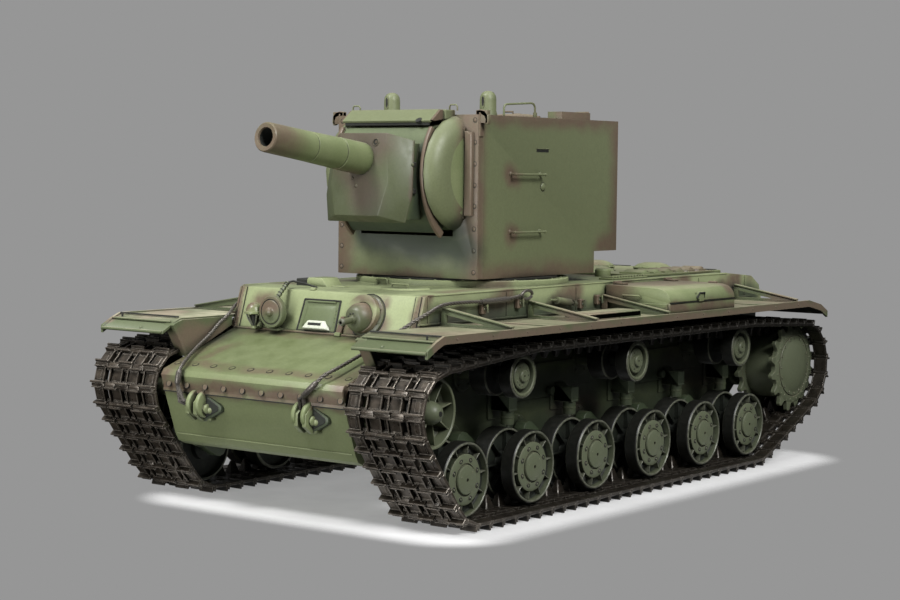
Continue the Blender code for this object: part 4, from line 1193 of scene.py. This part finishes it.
def tow_gear():
    """Cast hook lobes, the pin between them and a triangular shackle, on both sides of the nose."""
    form = Form()
    for x in (-HOOK_X, HOOK_X):
        for dx in (-2.9, 2.9):
            lobe = arc((-189.3, 51), 6.6, 60, 300, 12) + [(-184.5, 44), (-184.5, 57.5)]
            form.add(prism(lobe, x + dx - 1.2, x + dx + 1.2, "X", 0.7, 3))
        form.add(box((x - 6.5, x + 6.5), (-189.6, -184), (43, 58), 1, 3))
        form.add(tube([(x - 5.6, -190.6, 49), (x + 5.6, -190.6, 49)], 2, 20))
        form.add(dome(2.4, 1, 20), aim((x + 5.4, -190.6, 49), (1, 0, 0)))
        plate = arc((x + 11.6, 49.6), 2.2, -60, 50, 6)
        plate += arc((x + 2, 54.6), 2, 60, 120, 4) + arc((x + 2, 44.6), 2, 240, 300, 4)
        form.add(prism(plate, -190, -184, "Y", 0.5, 2), slot=1)
        inner = [(a * 0.80 + (x + 5.6) * 0.20, b * 0.80 + 49.6 * 0.20) for a, b in plate]
        form.add(prism(inner, -190.3, -186, "Y", 0.2), slot=2)
        form.add(dome(1.5, 1.1, 20), aim((x + 6.6, -190.3, 48.2), (0.2, -1, 0)))
    finish = paint("tow_hook_paint", [((-36, -192, 56), (-30, -192, 57), 1.5)], worn=0.6)
    piece("tow_hooks", form, "hull", [finish, DIM, DARK])


def upper_hull_strokes():
    """Brown at the front plate's ends, along the side walls and over the deck."""
    strokes = []
    for x in (-57.5, 57.5):
        strokes += [((x, -142, 83), (x, -134, 104), 3.4), ((x, -130, 86), (x, -110, 90), 7)]
        for y in (-90, -30, 20, 80, 140):
            strokes.append(((x * 1.03, y, 92), (x * 1.03, y + 22, 101), 6))
    strokes += [((19, -142, 86), (36, -142, 90), 5.5), ((18, -138, 100), (36, -138, 101), 3.5)]
    strokes += [((12.5, -142, 84), (14.5, -141, 90), 2.2), ((-46, -140, 98), (-36, -140, 99), 4)]
    strokes += [((-40, 60, 105), (40, 66, 105), 8), ((-50, -110, 104), (-46, -60, 104), 7)]
    strokes += [((50, -110, 104), (46, -60, 104), 7), ((-50, 178, 102), (50, 178, 102), 8)]
    return strokes


def upper_hull():
    """Superstructure with its front strips, the turret's bolted collar and a grip."""
    walls = [((x, -128, 92), (x, 184, 92), 6) for x in (-61, 61)]
    finish = paint(
        "upper_hull_paint", upper_hull_strokes(), base=PLATE_LIT_GREEN, shade=walls, top=0.9, top_dust_and_light=DECK_SHADE_GREEN
    )
    piece("upper_hull_rounded", refined("upper_hull", 0.4, 2, 24), "hull", [finish], ["upper_hull"])
    form = Form()
    for side in (1, -1):
        form.add(box((-1.6, 1.6), (0.3, 20.6), (-0.1, 0.35), 0.1), on_front(55.6 * side, 0))
        for x in (53.9, 57.3):
            form.add(box((-0.12, 0.12), (0.3, 20.6), (-0.1, 0.42), 0), on_front(x * side, 0), 1)
        form.add(
            tube([(58.9 * side, -133, 104), (58.9 * side, 60, 104.9), (58.9 * side, 150, 104.9)], 0.5, 8)
        )
        for k in range(7):
            form.add(dome(0.35, 0.25, 8), on_front(55.6 * side, 2 + 2.8 * k, 0.35))
    collar = [(56, 3.3), (56, 0), (55, -0.5), (47, -0.5), (47, 3.3), (55.4, 3.8)]
    form.add(lathe([(r, z + DECK_Z) for r, z in collar], 96, ring=True), at(0, RING_Y, 0))
    form.add(lathe([(56, 0.3), (57.2, -0.3), (56, -0.4)], 96, ring=True), at(0, RING_Y, 104.6))
    for spot in spread((0, RING_Y), 53.2, 24, 7):
        form.add(bolt(0.75, 0.6), at(*spot, 107.6))
    grip = [(-12.5, -83.6, 103.8), (-12.5, -84.2, 107.2), (-11.9, -84.3, 107.8)]
    grip += [(-6.1, -84.3, 107.8), (-5.5, -84.2, 107.2), (-5.5, -83.6, 103.8)]
    form.add(tube(grip, 0.5, 10))
    hull_top(form)
    hull_walls(form)
    piece("upper_hull_fittings", form, "hull", [finish, BLACK, BROWNISH])


def hull_top(form):
    """Periscope block with its hood, a hatch with its grip, a hook and screws, all before the turret."""
    form.add(box((-39, -30.5), (-116, -106), (103.8, 107.8), 0.5), slot=1)
    hood = [(-30.8, 103.8), (-30.8, 107.6), (-29.8, 108.6), (-21, 108.6), (-17.2, 103.8)]
    form.add(prism(hood, -117, -104.5, "Y", 0.5, 2))
    form.add(box((-18, -10), (-113, -108), (103.6, 104.8), 0.3))
    form.add(lathe([(0, 1.2), (11.5, 1.2), (12.6, 0.4), (12.6, -0.4), (0, -0.4)], 48), at(22, -104, DECK_Z))
    form.add(washer(12.6, 13.2, 0.15, -0.4, 48), at(22, -104, DECK_Z), 1)
    form.add(staple((17, 27), -108, (105, 107)))
    for x in (-54, -40, 0, 40, 54):
        seated(form, (x, -130.5, DECK_Z), (0, 0, 1), 0.9, 0.25)
    form.add(box((-12.4, -9.6), (-135.4, -133.2), (103.4, 105), 0.3))


def hull_walls(form):
    """Brackets, clamps and a turnbuckle on the upper hull's side walls."""
    for side in (1, -1):
        m = both(side)
        form.add(tube([(62.4, -37, 98.2), (62.4, -31, 97.6)], 0.6, 8), m)
        form.add(tube([(62.4, -31, 97.6), (62.4, -19, 96)], 1.9, 12), m)
        form.add(tube([(62.4, -19, 96), (62.4, -12, 95)], 0.6, 8), m)
        form.add(disc(1.6, 1, -1, 6), m @ aim((62.4, -15, 95.4), (0, 1, -0.15)))
        for y, z in ((-6, 94.5), (-62, 97.5), (-92, 96), (10, 96)):
            form.add(box((58.8, 61.6), (y - 1.6, y + 1.6), (z - 2.6, z + 2.6), 0.5), m, 2)
            form.add(tube([(61.2, y, z + 1), (63.4, y, z + 2.2), (63.6, y, z - 1.6)], 0.5, 8), m)
            form.add(bolt(0.7, 0.6), m @ aim((61.6, y, z), (1, 0, 0)))
        form.add(box((58.9, 59.7), (-141, 180), (90.2, 91.2), 0.2), m)
        for y in (-133, -70, -8, 55, 118, 172):
            form.add(box((58.9, 59.5), (y - 0.5, y + 0.5), (91, 103.4), 0.15), m)


def driver_flap():
    """Bevelled driver's plate with the pale visor block, its slot, and the black gap round it."""
    surround = Form()
    spot = on_front(-2.7, 0)
    hole = [(-13, 0.4), (11.4, 0.4), (11.4, 16.2), (-11.6, 16.2)]
    for a, b in zip(hole, hole[1:] + hole[:1]):
        surround.add(tube([(*a, 0.12), (*b, 0.12)], 0.42, 8), spot, 1)
    bracket = [(12.6, 0), (16.2, 0), (16.6, 8.6), (14, 8.6)]
    surround.add(hull_of([(x, y, z) for x, y in bracket for z in (-0.2, 1.3)], 0.3), spot, 2)
    surround.add(box((12.6, 16.2), (-1.4, 0.6), (-0.2, 1.9), 0.3), spot)
    plate_paint = paint("driver_plate_paint", base=(0.112, 0.138, 0.068, 1), top=0.1)
    piece("driver_frame", surround, "hull", [GREEN, BLACK, BROWNISH])
    form = Form()
    base = [(-12.2, 0.9), (10.8, 0.9), (10.8, 15.6), (-11, 15.6)]
    raised = [(-10.6, 2.4), (9.2, 2.4), (9.2, 13.6), (-9, 13.6)]
    form.add(between(base, -0.6, base, 0.25, 0.12), spot)
    top = [(x * 0.82, 8 + (y - 8) * 0.72) for x, y in raised]
    form.add(between(raised, 0.2, top, 1.3, 0.15), spot)
    block = [(-8.8, 1.2), (8.4, 1.2), (5.4, 6), (-5.6, 6)]
    top = [(x * 0.86, 1.9 + (y - 1.9) * 0.78) for x, y in block]
    form.add(between(block, 0.2, top, 3, 0.25), spot, 3)
    form.add(box((-4.2, 4), (2.9, 4.2), (2.2, 3.08), 0.02), spot, 1)
    for y in (5.5, 7.4, 9.3, 11.2):
        form.add(dome(0.25, 0.2, 8), spot @ at(9.9, y, 0.3), 1)
    form.add(tube([(-9, 15.2, 0.5), (9, 15.2, 0.5)], 0.5, 10), spot)
    piece("driver_flap_plate", form, "driver_flap", [plate_paint, BLACK, BROWNISH, PALE], ["driver_visor"])


def bow_gun():
    """Round bolted plate on the hull, and the bulged ball with its short barrel, which swivels."""
    plate = Form()
    spot = on_front(26.8, 9.9)
    plate.add(lathe([(0, 1.4), (9.4, 1.4), (10.2, 0.9), (10.4, 0.2), (10.4, -0.6), (0, -0.6)], 48), spot)
    plate.add(washer(10.4, 10.9, 0.12, -0.3, 48), spot, 1)
    for seat in spread((0, 0), 8.9, 8, 22):
        plate.add(bolt(0.65, 0.55), spot @ at(*seat, 1.2))
    finish = paint(
        "bow_gun_paint", [((22, -142, 99), (32, -142, 99), 5)], base=(0.088, 0.098, 0.055, 1), rough=0.4,
    )
    piece("bow_gun_plate", plate, "hull", [finish, BLACK])
    gun = Form()
    sleeve = [
        (0, 13), (0.75, 13), (0.8, 14.4), (1.5, 14.4), (1.75, 14), (1.75, 13), (1.45, 12.7), (1.45, 6.6),
    ]
    sleeve += [
        (2, 6.2), (2.1, 5.6), (3.9, 5.5), (4.9, 5.1), (6.2, 3.6), (7.1, 1.2), (7.2, -0.6), (6.8, -3.4),
        (0, -6.4),
    ]
    ball = facing_front(26, -143, 92.6, 96)

    def pick(centre):
        if math.hypot(centre.x, centre.y) < 0.78 and centre.z > 9:
            return 1
        return 2 if centre.z > 12.6 else 0

    gun.add(lathe(sleeve, 40), ball, pick=pick)
    for seat in arc((0, 0), 3, 80, 185, 3):
        gun.add(dome(0.5, 0.35, 8), ball @ at(*seat, 5.5), 1)
    piece("bow_gun_ball", gun, "bow_machine_gun", [finish, BLACK, RIM], ["bow_gun"])


def headlight():
    """Lamp with its bezel and foot, and a wrapped conduit up to the deck."""
    form = Form()
    frame_lamp = facing_front(-26.4, -146.6, 93)
    lamp = [
        (0, 4.7), (1.2, 4.5), (2, 3.9), (2.2, 3.1), (2.5, 2.6), (5.4, 2.3), (5.8, 1.9), (5.8, 1.6),
        (6.3, 1.6),
    ]
    lamp += [(6.4, 2), (7.5, 1.9), (7.8, 1.3), (7.8, -1), (7.2, -1.9), (5.6, -3.4), (3, -4.6), (0, -5)]
    form.add(lathe(lamp, 56), frame_lamp)
    form.add(washer(5.85, 6.25, 1.75, 1.3, 56), frame_lamp, 1)
    form.add(tube([(-26.4, -145.6, 87), (-26.4, -142.4, 83.8)], 1.2, 12))
    form.add(box((-29, -23.8), (-146, -141.4), (83.6, 84.8), 0.3))
    pipe = [(-27, -143.6, 98.8), (-26.8, -141, 102), (-26.6, -137.6, 105.4), (-26.4, -136.2, 107)]
    pipe = [Vector(p) for p in pipe]
    form.add(tube(pipe, 1, 12))
    twist = []
    steps, turns, spans = 59, 7, len(pipe) - 1
    for i in range(steps + 1):
        share = i / steps
        k = min(int(share * spans), spans - 1)
        spot = pipe[k].lerp(pipe[k + 1], share * spans - k)
        turn = share * math.tau * turns
        twist.append(
            spot + Vector((math.cos(turn), 0, 0)) * 1.1 + Vector((0, -0.8, 0.6)) * math.sin(turn) * 1.1
        )
    form.add(tube(twist, 0.25, 6), slot=1)
    wire = [(-26.4, -136.2, 107), (-24, -134.6, 107.6), (-20, -130.4, 106.4), (-15, -127, 104.4)]
    form.add(tube(wire, 0.5, 8), slot=1)
    finish = paint(
        "lamp_paint", [((-31, -150, 96), (-24, -150, 97), 4.5)], base=(0.112, 0.132, 0.070, 1), rough=0.36,
    )
    piece("headlight_turned", form, "hull", [finish, BLACK], ["headlight"])


def horn():
    """Domed bell on six ribs over its driver and foot."""
    form = Form()
    bell = [
        (0, 4.9), (1.6, 4.6), (3, 3.6), (3.9, 2.1), (4.3, 0.5), (4.9, 0.2), (4.9, -0.7), (4.2, -1), (0, -1),
    ]
    form.add(lathe(bell, 44), at(*HORN, 92.2))
    for spot in spread(HORN, 3.9, 6, 30):
        top = Vector((*spot, 91.4))
        out = top - Vector((*HORN, 91.4))
        middle = top - out * 0.25 - Vector((0, 0, 2.8))
        foot = Vector((*HORN, 85.4)) + out * 0.22
        form.add(tube([top, middle, foot], 0.4, 8), slot=2)
    form.add(lathe([(0, 2), (2.6, 1.6), (1.3, -3.6), (0, -4.2)], 20), at(*HORN, 89), 1)
    form.add(lathe([(0, 0.8), (1.3, 0.5), (1.3, -0.8), (0, -0.8)], 16), at(*HORN, 85.2))
    form.add(box((-40.6, -37.8), (-147.4, -141.6), (83.7, 85), 0.4))
    finish = paint("horn_paint", [((-43, -148, 95), (-39, -148, 95), 3.5)], rough=0.36)
    piece("horn_turned", form, "hull", [finish, BLACK, RIM], ["horn"])


# ---------------------------------------------------------------- fenders and deck

FENDER_BROWN = (0.155, 0.118, 0.083, 1)
FENDER_GREEN = (0.098, 0.120, 0.060, 1)


def fender_strokes(side):
    """Brown along the outer lip, at the nose and in patches on the top."""
    x = 102.6 * side
    strokes = [((x, -176, 86.8), (x, 190, 86.8), 3.6), ((x, -183, 84), (x, -176, 88), 3)]
    for y, inner in ((-160, 90), (-100, 72), (-40, 95), (20, 70), (96, 76), (150, 92), (180, 70)):
        strokes.append((((inner - 8) * side, y - 10, 90), ((inner + 4) * side, y + 12, 90), 9))
    strokes.append(((59 * side, -150, 80), (59 * side, -178, 80), 6))
    return strokes


def fenders():
    """Each fender with its rolled ends, braces, screws and seams; the left one also has the tool box."""
    for name, side in SIDES:
        # Both fender tops take a khaki tint, partly dust and partly painted light; the right fender's paler
        # sand top is a painted highlight where more light falls.
        top_dust_and_light, top = (KHAKI, 0.85) if side > 0 else (LIT_SAND, 0.95)
        looks = {"base": FENDER_GREEN, "over": FENDER_BROWN, "top": top, "top_dust_and_light": top_dust_and_light}
        finish = paint(f"fender_paint_{name}", fender_strokes(side), **looks)
        node = f"{name}_fender"
        piece(f"{node}_rounded", refined(node, 0.22, 1, 24), "hull", [finish], [node])
        form = Form()
        m = both(side)
        lip = [(-182.6, 87.6), (-184.2, 86.6), (-174.6, 70.8), (-173.8, 71.4)]
        form.add(prism(lip, 57.4, 63.6, "X", 0.2), m)
        form.add(
            prism([(-183.4, 86.6), (-174.4, 71.6), (-171.4, 72.6), (-180, 87)], 62.8, 63.6, "X", 0.1), m, 3,
        )
        form.add(tube([(60, -189.2, 83.3), (102, -189.2, 83.3)], 0.75, 10), m)
        form.add(tube([(60, 193.2, 82.2), (102, 193.2, 82.2)], 0.75, 10), m)
        form.add(tube([(60.6, -182.6, 88), (101.2, -182.6, 88)], 0.55, 8), m)
        form.add(tube([(60.6, -177.2, 90.2), (101.2, -177.2, 90.2)], 0.4, 8), m, 1)
        for y in (-124, -53, 15, 157):
            ends = ((60.6, 98.2), (101.4, 91.2))
            brace = [(x, y + dy, z + dz) for x, z in ends for dy in (-1.5, 1.5) for dz in (-0.1, 0.5)]
            form.add(hull_of(brace, 0.1), m)
            form.add(box((60.6, 101.4), (y - 1.5, y + 2.6), (89.4, 90.1), 0.1), m)
            for x in (66, 80, 94):
                form.add(dome(0.6, 0.4, 8), m @ at(x, y + 1.7, 90))
        for i in range(13):
            form.add(dome(0.55, 0.35, 8), m @ aim((102.7, -168 + 27 * i, 88.6), (1, 0, 0)))
        for y in (-90, -20, 50, 120):
            form.add(box((60, 101), (y - 0.3, y + 0.3), (89.4, 90), 0.08), m)
        form.add(tube([(96, -181, 88.6), (96, -181, 90.4)], 0.5, 8), m, 1)
        form.add(dome(0.9, 0.8, 12), m @ at(76, -187.5, 84.6))
        if side > 0:
            form.add(box((78, 93), (-47, 1), (89.6, 92.8), 0.5, 2), m)
            form.add(box((79.6, 91.4), (-45.4, -0.6), (92.4, 93.1), 0.3), m)
            form.add(tube([(83, -47.8, 90.6), (83, -52, 90.6)], 0.7, 10), m)
        piece(f"{node}_fittings", form, "hull", [finish, BLACK, BROWNISH, DARK])


def stowage_box():
    """Box on the left fender with its lid line, latch, hinges and handle."""
    strokes = [((64, 18, 104), (64, 86, 104), 12), ((76, 40, 104), (78, 86, 104), 9)]
    strokes += [((102, 18, 92), (102, 86, 92), 3.6), ((88, 84, 103), (96, 84, 102), 5)]
    finish = paint("stowage_paint", strokes, top=0.5)
    piece(
        "stowage_box_rounded", refined("stowage_box_left", 0.3, 2, 24), "hull", [finish],
        ["stowage_box_left"],
    )
    form = Form()
    form.add(box((99.4, 100.35), (18.6, 86.2), (95.15, 95.5), 0.05), slot=1)
    form.add(
        tube([(100.2, 45.6, 97.2), (101, 46.4, 99.8), (101, 51.6, 99.8), (100.2, 52.4, 97.2)], 0.5, 8),
        slot=1,
    )
    form.add(box((99.2, 101.1), (46.8, 51.2), (95.2, 98.4), 0.35))
    for y in (26, 78):
        form.add(box((61, 68), (y - 2.4, y + 2.4), (103.4, 104.5), 0.3), slot=2)
        form.add(tube([(62.4, y - 3.4, 104.5), (62.4, y + 3.4, 104.5)], 0.9, 12), slot=2)
    form.add(box((84, 89), (84.4, 86.9), (102.8, 104), 0.3), slot=2)
    form.add(box((61, 98.4), (17.6, 18.5), (90.4, 95), 0.2))
    form.add(tube([(72, 17.9, 97.6), (72, 16.6, 98.6), (82, 16.6, 98.6), (82, 17.9, 97.6)], 0.5, 8))
    piece("stowage_box_fittings", form, "hull", [finish, BLACK, BROWNISH])


def deck():
    """Engine deck: side grilles, louvre rows, domed covers, rear grilles, pipes, and the battery hatch."""
    strokes = [((-40, 80, 107), (-20, 120, 107), 10), ((36, 100, 107), (44, 140, 107), 9)]
    finish = paint("deck_paint", strokes, top=0.5)
    piece("engine_deck_rounded", refined("engine_deck", 0.2, 1, 30), "hull", [finish], ["engine_deck"])
    form = Form()
    for side in (1, -1):
        m = both(side)
        form.add(box((46, 55), (33, 69), (104.6, 106.2), 0.3), m)
        form.add(box((46.8, 54.2), (34, 68), (105.4, 106.3), 0), m, 1)
        for i in range(12):
            y = 34.6 + 2.8 * i
            form.add(box((46.6, 54.4), (y, y + 1.2), (105.6, 106.9), 0.15), m)
        for row in range(6):
            y = 73 + 12.4 * row
            foot = rectangle((34.4, 48.6), (y + 0.6, y + 7.4))
            top = rectangle((35.4, 47.6), (y + 5, y + 6.6))
            form.add(between(foot, 106.8, top, 108.9, 0.3), m)
            form.add(box((35.4, 47.6), (y + 7.2, y + 7.7), (107, 108.3), 0), m, 1)
        cover = [(0, 3), (5, 2.8), (8.4, 1.9), (10.4, 0.6), (11.2, 0.2), (11.2, -0.5), (0, -0.5)]
        form.add(lathe(cover, 48), m @ at(20, 131, 107.6))
        for spot in spread((20, 131), 10.6, 8):
            form.add(bolt(0.6, 0.5), m @ at(*spot, 107.8))
        for y in (72, 96, 121, 146):
            seated(form, (50.4 * side, y, 106.5), (0, 0, 1), 0.8, 0.3)
        form.add(box((16, 44), (154, 170), (103.6, 105.8), 0.5, 2), m)
        for i in range(7):
            y = 155.6 + 2 * i
            form.add(box((18, 42), (y, y + 0.8), (105.4, 106.2), 0.1), m, 1)
        pipe = [(0, 1.2), (3.6, 1), (4.4, 0), (4.4, -6), (0, -6)]
        form.add(lathe(pipe, 32), m @ at(30, 62, 108.6))
    form.add(box((-32, 32), (149, 151.5), (104.8, 106.6), 0.3))
    form.add(box((-44, 44), (182.6, 190.4), (93, 94), 0.2), slot=1)
    for x in (-30, -10, 10, 30):
        form.add(box((x - 1, x + 1), (186, 193.4), (84.4, 96.2), 0.3))
    piece("deck_fittings", form, "hull", [finish, BLACK])
    lid = Form()
    top = [
        (0, 109.4), (5, 109.2), (9, 108.6), (12, 107.7), (13.6, 106.8), (14.4, 105.9), (14.2, 105.6),
        (0, 105.6),
    ]
    lid.add(lathe(top, 56), at(0, 95, 0))
    lid.add(box((-5, 5), (107.8, 111.6), (107.3, 108.5), 0.4))
    lid.add(tube([(-6, 111.4, 107.6), (6, 111.4, 107.6)], 0.6, 12))
    lid.add(staple((-3, 3), 88, (108.4, 110.4)))
    piece("battery_hatch_lid", lid, "battery_lid", [finish, BLACK], ["battery_hatch"])


def insides():
    """Battery, board, speaker, drives and gearboxes, as the frame places them."""
    finishes = {
        "battery_pack": WRAP, "main_board": CIRCUIT, "speaker": BLACK, "turret_drive": BRASS,
        "gearbox_left": GREY, "gearbox_right": GREY,
    }
    for node, finish in finishes.items():
        body = frame["nodes"][node]["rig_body"]
        piece(f"{node}_cased", refined(node, 0.25, 1, 30), body, [finish], [node])


# ---------------------------------------------------------------- tow cables

ROPE_RADIUS = 0.95
STRANDS = 3
TWIST = 6.6
FIRST_SLEEVE = {"left": 14, "right": 52}
ALONG_HULL = [(ROPE_X, -112, 100.2), (ROPE_X, -92, 99.8), (ROPE_X, -74, 100.2), (ROPE_X, -62, 101.4)]
ROUTES = {
    "left": [
        (33.6, -193, 59), (37.5, -194.7, 61.6), (42, -194.4, 65.6), (45.2, -190.6, 70.2),
        (46.5, -182, 73.2),
        (47.5, -170, 77.4), (49.5, -157, 82.6), (53, -148, 87.6), (57.8, -142.2, 92.4), (61.8, -137.4, 96),
        (ROPE_X, -127, 99.5), *ALONG_HULL,
    ],
    "right": [
        (41.4, -193.8, 51.8), (42.6, -194.3, 55.4), (43.6, -194.6, 59.4), (43.3, -194.6, 62.8),
        (43.6, -193.2, 66.6), (45.8, -188.2, 69.6), (50.7, -178.6, 72.8), (54.2, -169, 76.6),
        (55.9, -161, 80.4), (56.6, -153, 85.9), (56.4, -146.4, 90.2), (59.3, -140.4, 92.7),
        (61.6, -134.2, 95.1), (ROPE_X, -126, 99.4), *ALONG_HULL,
    ],
}


def smooth_line(points, steps):
    """Catmull-Rom curve through the points."""
    points = [Vector(p) for p in points]
    padded = [points[0] * 2 - points[1], *points, points[-1] * 2 - points[-2]]
    line = []
    for a, b, c, d in zip(padded, padded[1:], padded[2:], padded[3:]):
        for i in range(steps):
            t = i / steps
            bend, twist = 2 * a - 5 * b + 4 * c - d, 3 * b - a - 3 * c + d
            line.append(0.5 * (2 * b + (c - a) * t + bend * t**2 + twist * t**3))
    return line + [points[-1]]


def rope(name, side):
    """Twisted rope along the cable's route, with a sleeve near each end, a loop on the hook and an eye."""
    line = smooth_line([(x * side, y, z) for x, y, z in ROUTES[name]], 24)
    form = Form()
    across = Vector((0, 0, 1))
    frames = []
    for i, p in enumerate(line):
        ahead = (line[min(i + 1, len(line) - 1)] - line[max(i - 1, 0)]).normalized()
        across = (across - ahead * across.dot(ahead)).normalized()
        frames.append((p, across.copy(), ahead.cross(across)))
    walked = [0]
    for a, b in zip(line, line[1:]):
        walked.append(walked[-1] + (b - a).length)
    for strand in range(STRANDS):
        points = []
        for (p, u, v), far in zip(frames, walked):
            turn = math.tau * (far / TWIST + strand / STRANDS)
            points.append(p + (u * math.cos(turn) + v * math.sin(turn)) * (ROPE_RADIUS * 0.48))
        form.add(tube(points, ROPE_RADIUS * 0.52, 8))
    cable = piece(f"tow_rope_{name}", form, "hull", [ROPE], [f"tow_cable_{name}"], smooth=60)
    ends = Form()
    first = FIRST_SLEEVE[name]
    last = len(line) - 54
    for a, b in ((first, first + 44), (last, last + 32)):
        span = line[a:b:2]
        ends.add(tube(span, [1.45 if 1 < i < len(span) - 2 else 1.2 for i in range(len(span))], 14))
    x = HOOK_X * side
    foot = line[2]
    near = foot.lerp(Vector((x, -190.6, 49)), 0.45)
    for shift in (-1.1, 1.1):
        push = Vector((shift, -0.3, 0.4 * shift))
        strand = [line[first - 4], foot + push, near + push, Vector((x + shift, -188.4, 50.6))]
        ends.add(tube(strand, 0.95, 10))
    x = ROPE_X * side
    turns = [k * 0.35 for k in range(18)]
    eye = [(x + 0.3 * math.sin(t), -57.6 + 4.4 * math.cos(t), 101.6 + 2.2 * math.sin(t)) for t in turns]
    ends.add(tube(eye, 0.8, 10))
    fitting = piece(f"tow_rope_ends_{name}", ends, "hull", [ROPE])
    path = [p * MM for p in line[::3] + [line[-1]]]
    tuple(path[0])


lower_hull()
tow_gear()
upper_hull()
driver_flap()
bow_gun()
headlight()
horn()
fenders()
stowage_box()
deck()
insides()
for cable_name, cable_side in SIDES:
    rope(cable_name, cable_side)


# ---------------------------------------------------------------- stage

CAMERA_AT = Vector((616.4, -849.2, 161.85))
CAMERA_TURN = (37.25, -3.72, 0.64)
LIGHTS = (
    ("key", (-0.4, -1, 1.45), 0.45, 24),
    ("low", (-0.1, -1.4, 0.08), 0.7, 10),
    ("fill", (1.25, -0.5, 1.15), 0.7, 27),
    ("top", (0.1, 0.2, 1.6), 1, 6),
)


def pale_floor():
    """Matt white round the tank's footprint, fading out into the plain backdrop."""
    n = Nodes("pale_floor")
    grain = n.remap(n.noise(0.03, 3), 0.3, 0.7, 0.53, 0.57)
    tone = n.add("CombineColor", {0: grain, 1: grain, 2: grain}).outputs[0]
    n.finish(tone, 0.62, specular=0.25)
    # The floor glows a little too: painted light that lifts the shadows on it and brightens the tank from
    # below.
    n.tree.links.new(tone, n.shader.inputs["Emission Color"])
    n.shader.inputs["Emission Strength"].default_value = 0.47
    spot = n.vector("ABSOLUTE", n.vector("SUBTRACT", n.place, (18.5, -4, 0)))
    over = n.vector("MAXIMUM", n.vector("SUBTRACT", spot, (74, 154, 0)), (0, 0, 0))
    seen = n.remap(n.vector("LENGTH", over), 20, 40, 1, 0)
    n.tree.links.new(seen, n.shader.inputs["Alpha"])
    return n.material


def backdrop():
    """Plain grey behind the tank; for lighting, a dim room that is brighter overhead."""
    world = bpy.data.worlds.new("studio")
    world.use_nodes = True
    tree = world.node_tree
    background = tree.nodes["Background"]
    height = tree.nodes.new("ShaderNodeSeparateXYZ")
    tree.links.new(tree.nodes.new("ShaderNodeTexCoord").outputs["Generated"], height.inputs[0])
    glow = tree.nodes.new("ShaderNodeMapRange")
    for key, value in (("From Min", -0.3), ("From Max", 1), ("To Min", 0.012), ("To Max", 0.30)):
        glow.inputs[key].default_value = value
    tree.links.new(height.outputs["Z"], glow.inputs["Value"])
    seen = tree.nodes.new("ShaderNodeMix")
    tree.links.new(tree.nodes.new("ShaderNodeLightPath").outputs["Is Camera Ray"], seen.inputs[0])
    tree.links.new(glow.outputs[0], seen.inputs[2])
    seen.inputs[3].default_value = 0.305
    tree.links.new(seen.outputs[0], background.inputs["Color"])
    bpy.context.scene.world = world


def stage():
    """Floor, camera (turned by yaw, pitch and roll), disc lights (metres and watts) and backdrop."""
    scene = bpy.context.scene
    scene.view_settings.view_transform = "Standard"
    bpy.ops.mesh.primitive_circle_add(vertices=96, radius=4, fill_type="NGON")
    floor = bpy.context.object
    floor.name = "floor"
    floor.data.materials.append(pale_floor())
    camera = bpy.data.objects.new("camera", bpy.data.cameras.new("camera"))
    scene.collection.objects.link(camera)
    scene.camera = camera
    camera.data.lens = 77.77
    camera.data.sensor_width = 36
    camera.data.clip_start = 0.05
    yaw, pitch, roll = (math.radians(a) for a in CAMERA_TURN)
    ahead = Vector((-math.sin(yaw) * math.cos(pitch), math.cos(yaw) * math.cos(pitch), math.sin(pitch)))
    right = Vector((math.cos(yaw), math.sin(yaw), 0))
    up = right.cross(ahead)
    level, tall = right, up
    right = level * math.cos(roll) + tall * math.sin(roll)
    up = tall * math.cos(roll) - level * math.sin(roll)
    turn = Matrix((right, up, -ahead)).transposed().to_4x4()
    camera.matrix_world = Matrix.Translation(CAMERA_AT * MM) @ turn
    camera.data.shift_y = -0.0012
    for name, where, size, power in LIGHTS:
        light = bpy.data.objects.new(name, bpy.data.lights.new(name, "AREA"))
        scene.collection.objects.link(light)
        light.data.shape = "DISK"
        light.data.size = size
        light.data.energy = power
        light.location = where
        light.rotation_euler = (Vector((0, 0, 0.08)) - Vector(where)).to_track_quat("-Z", "Y").to_euler()
    backdrop()


stage()
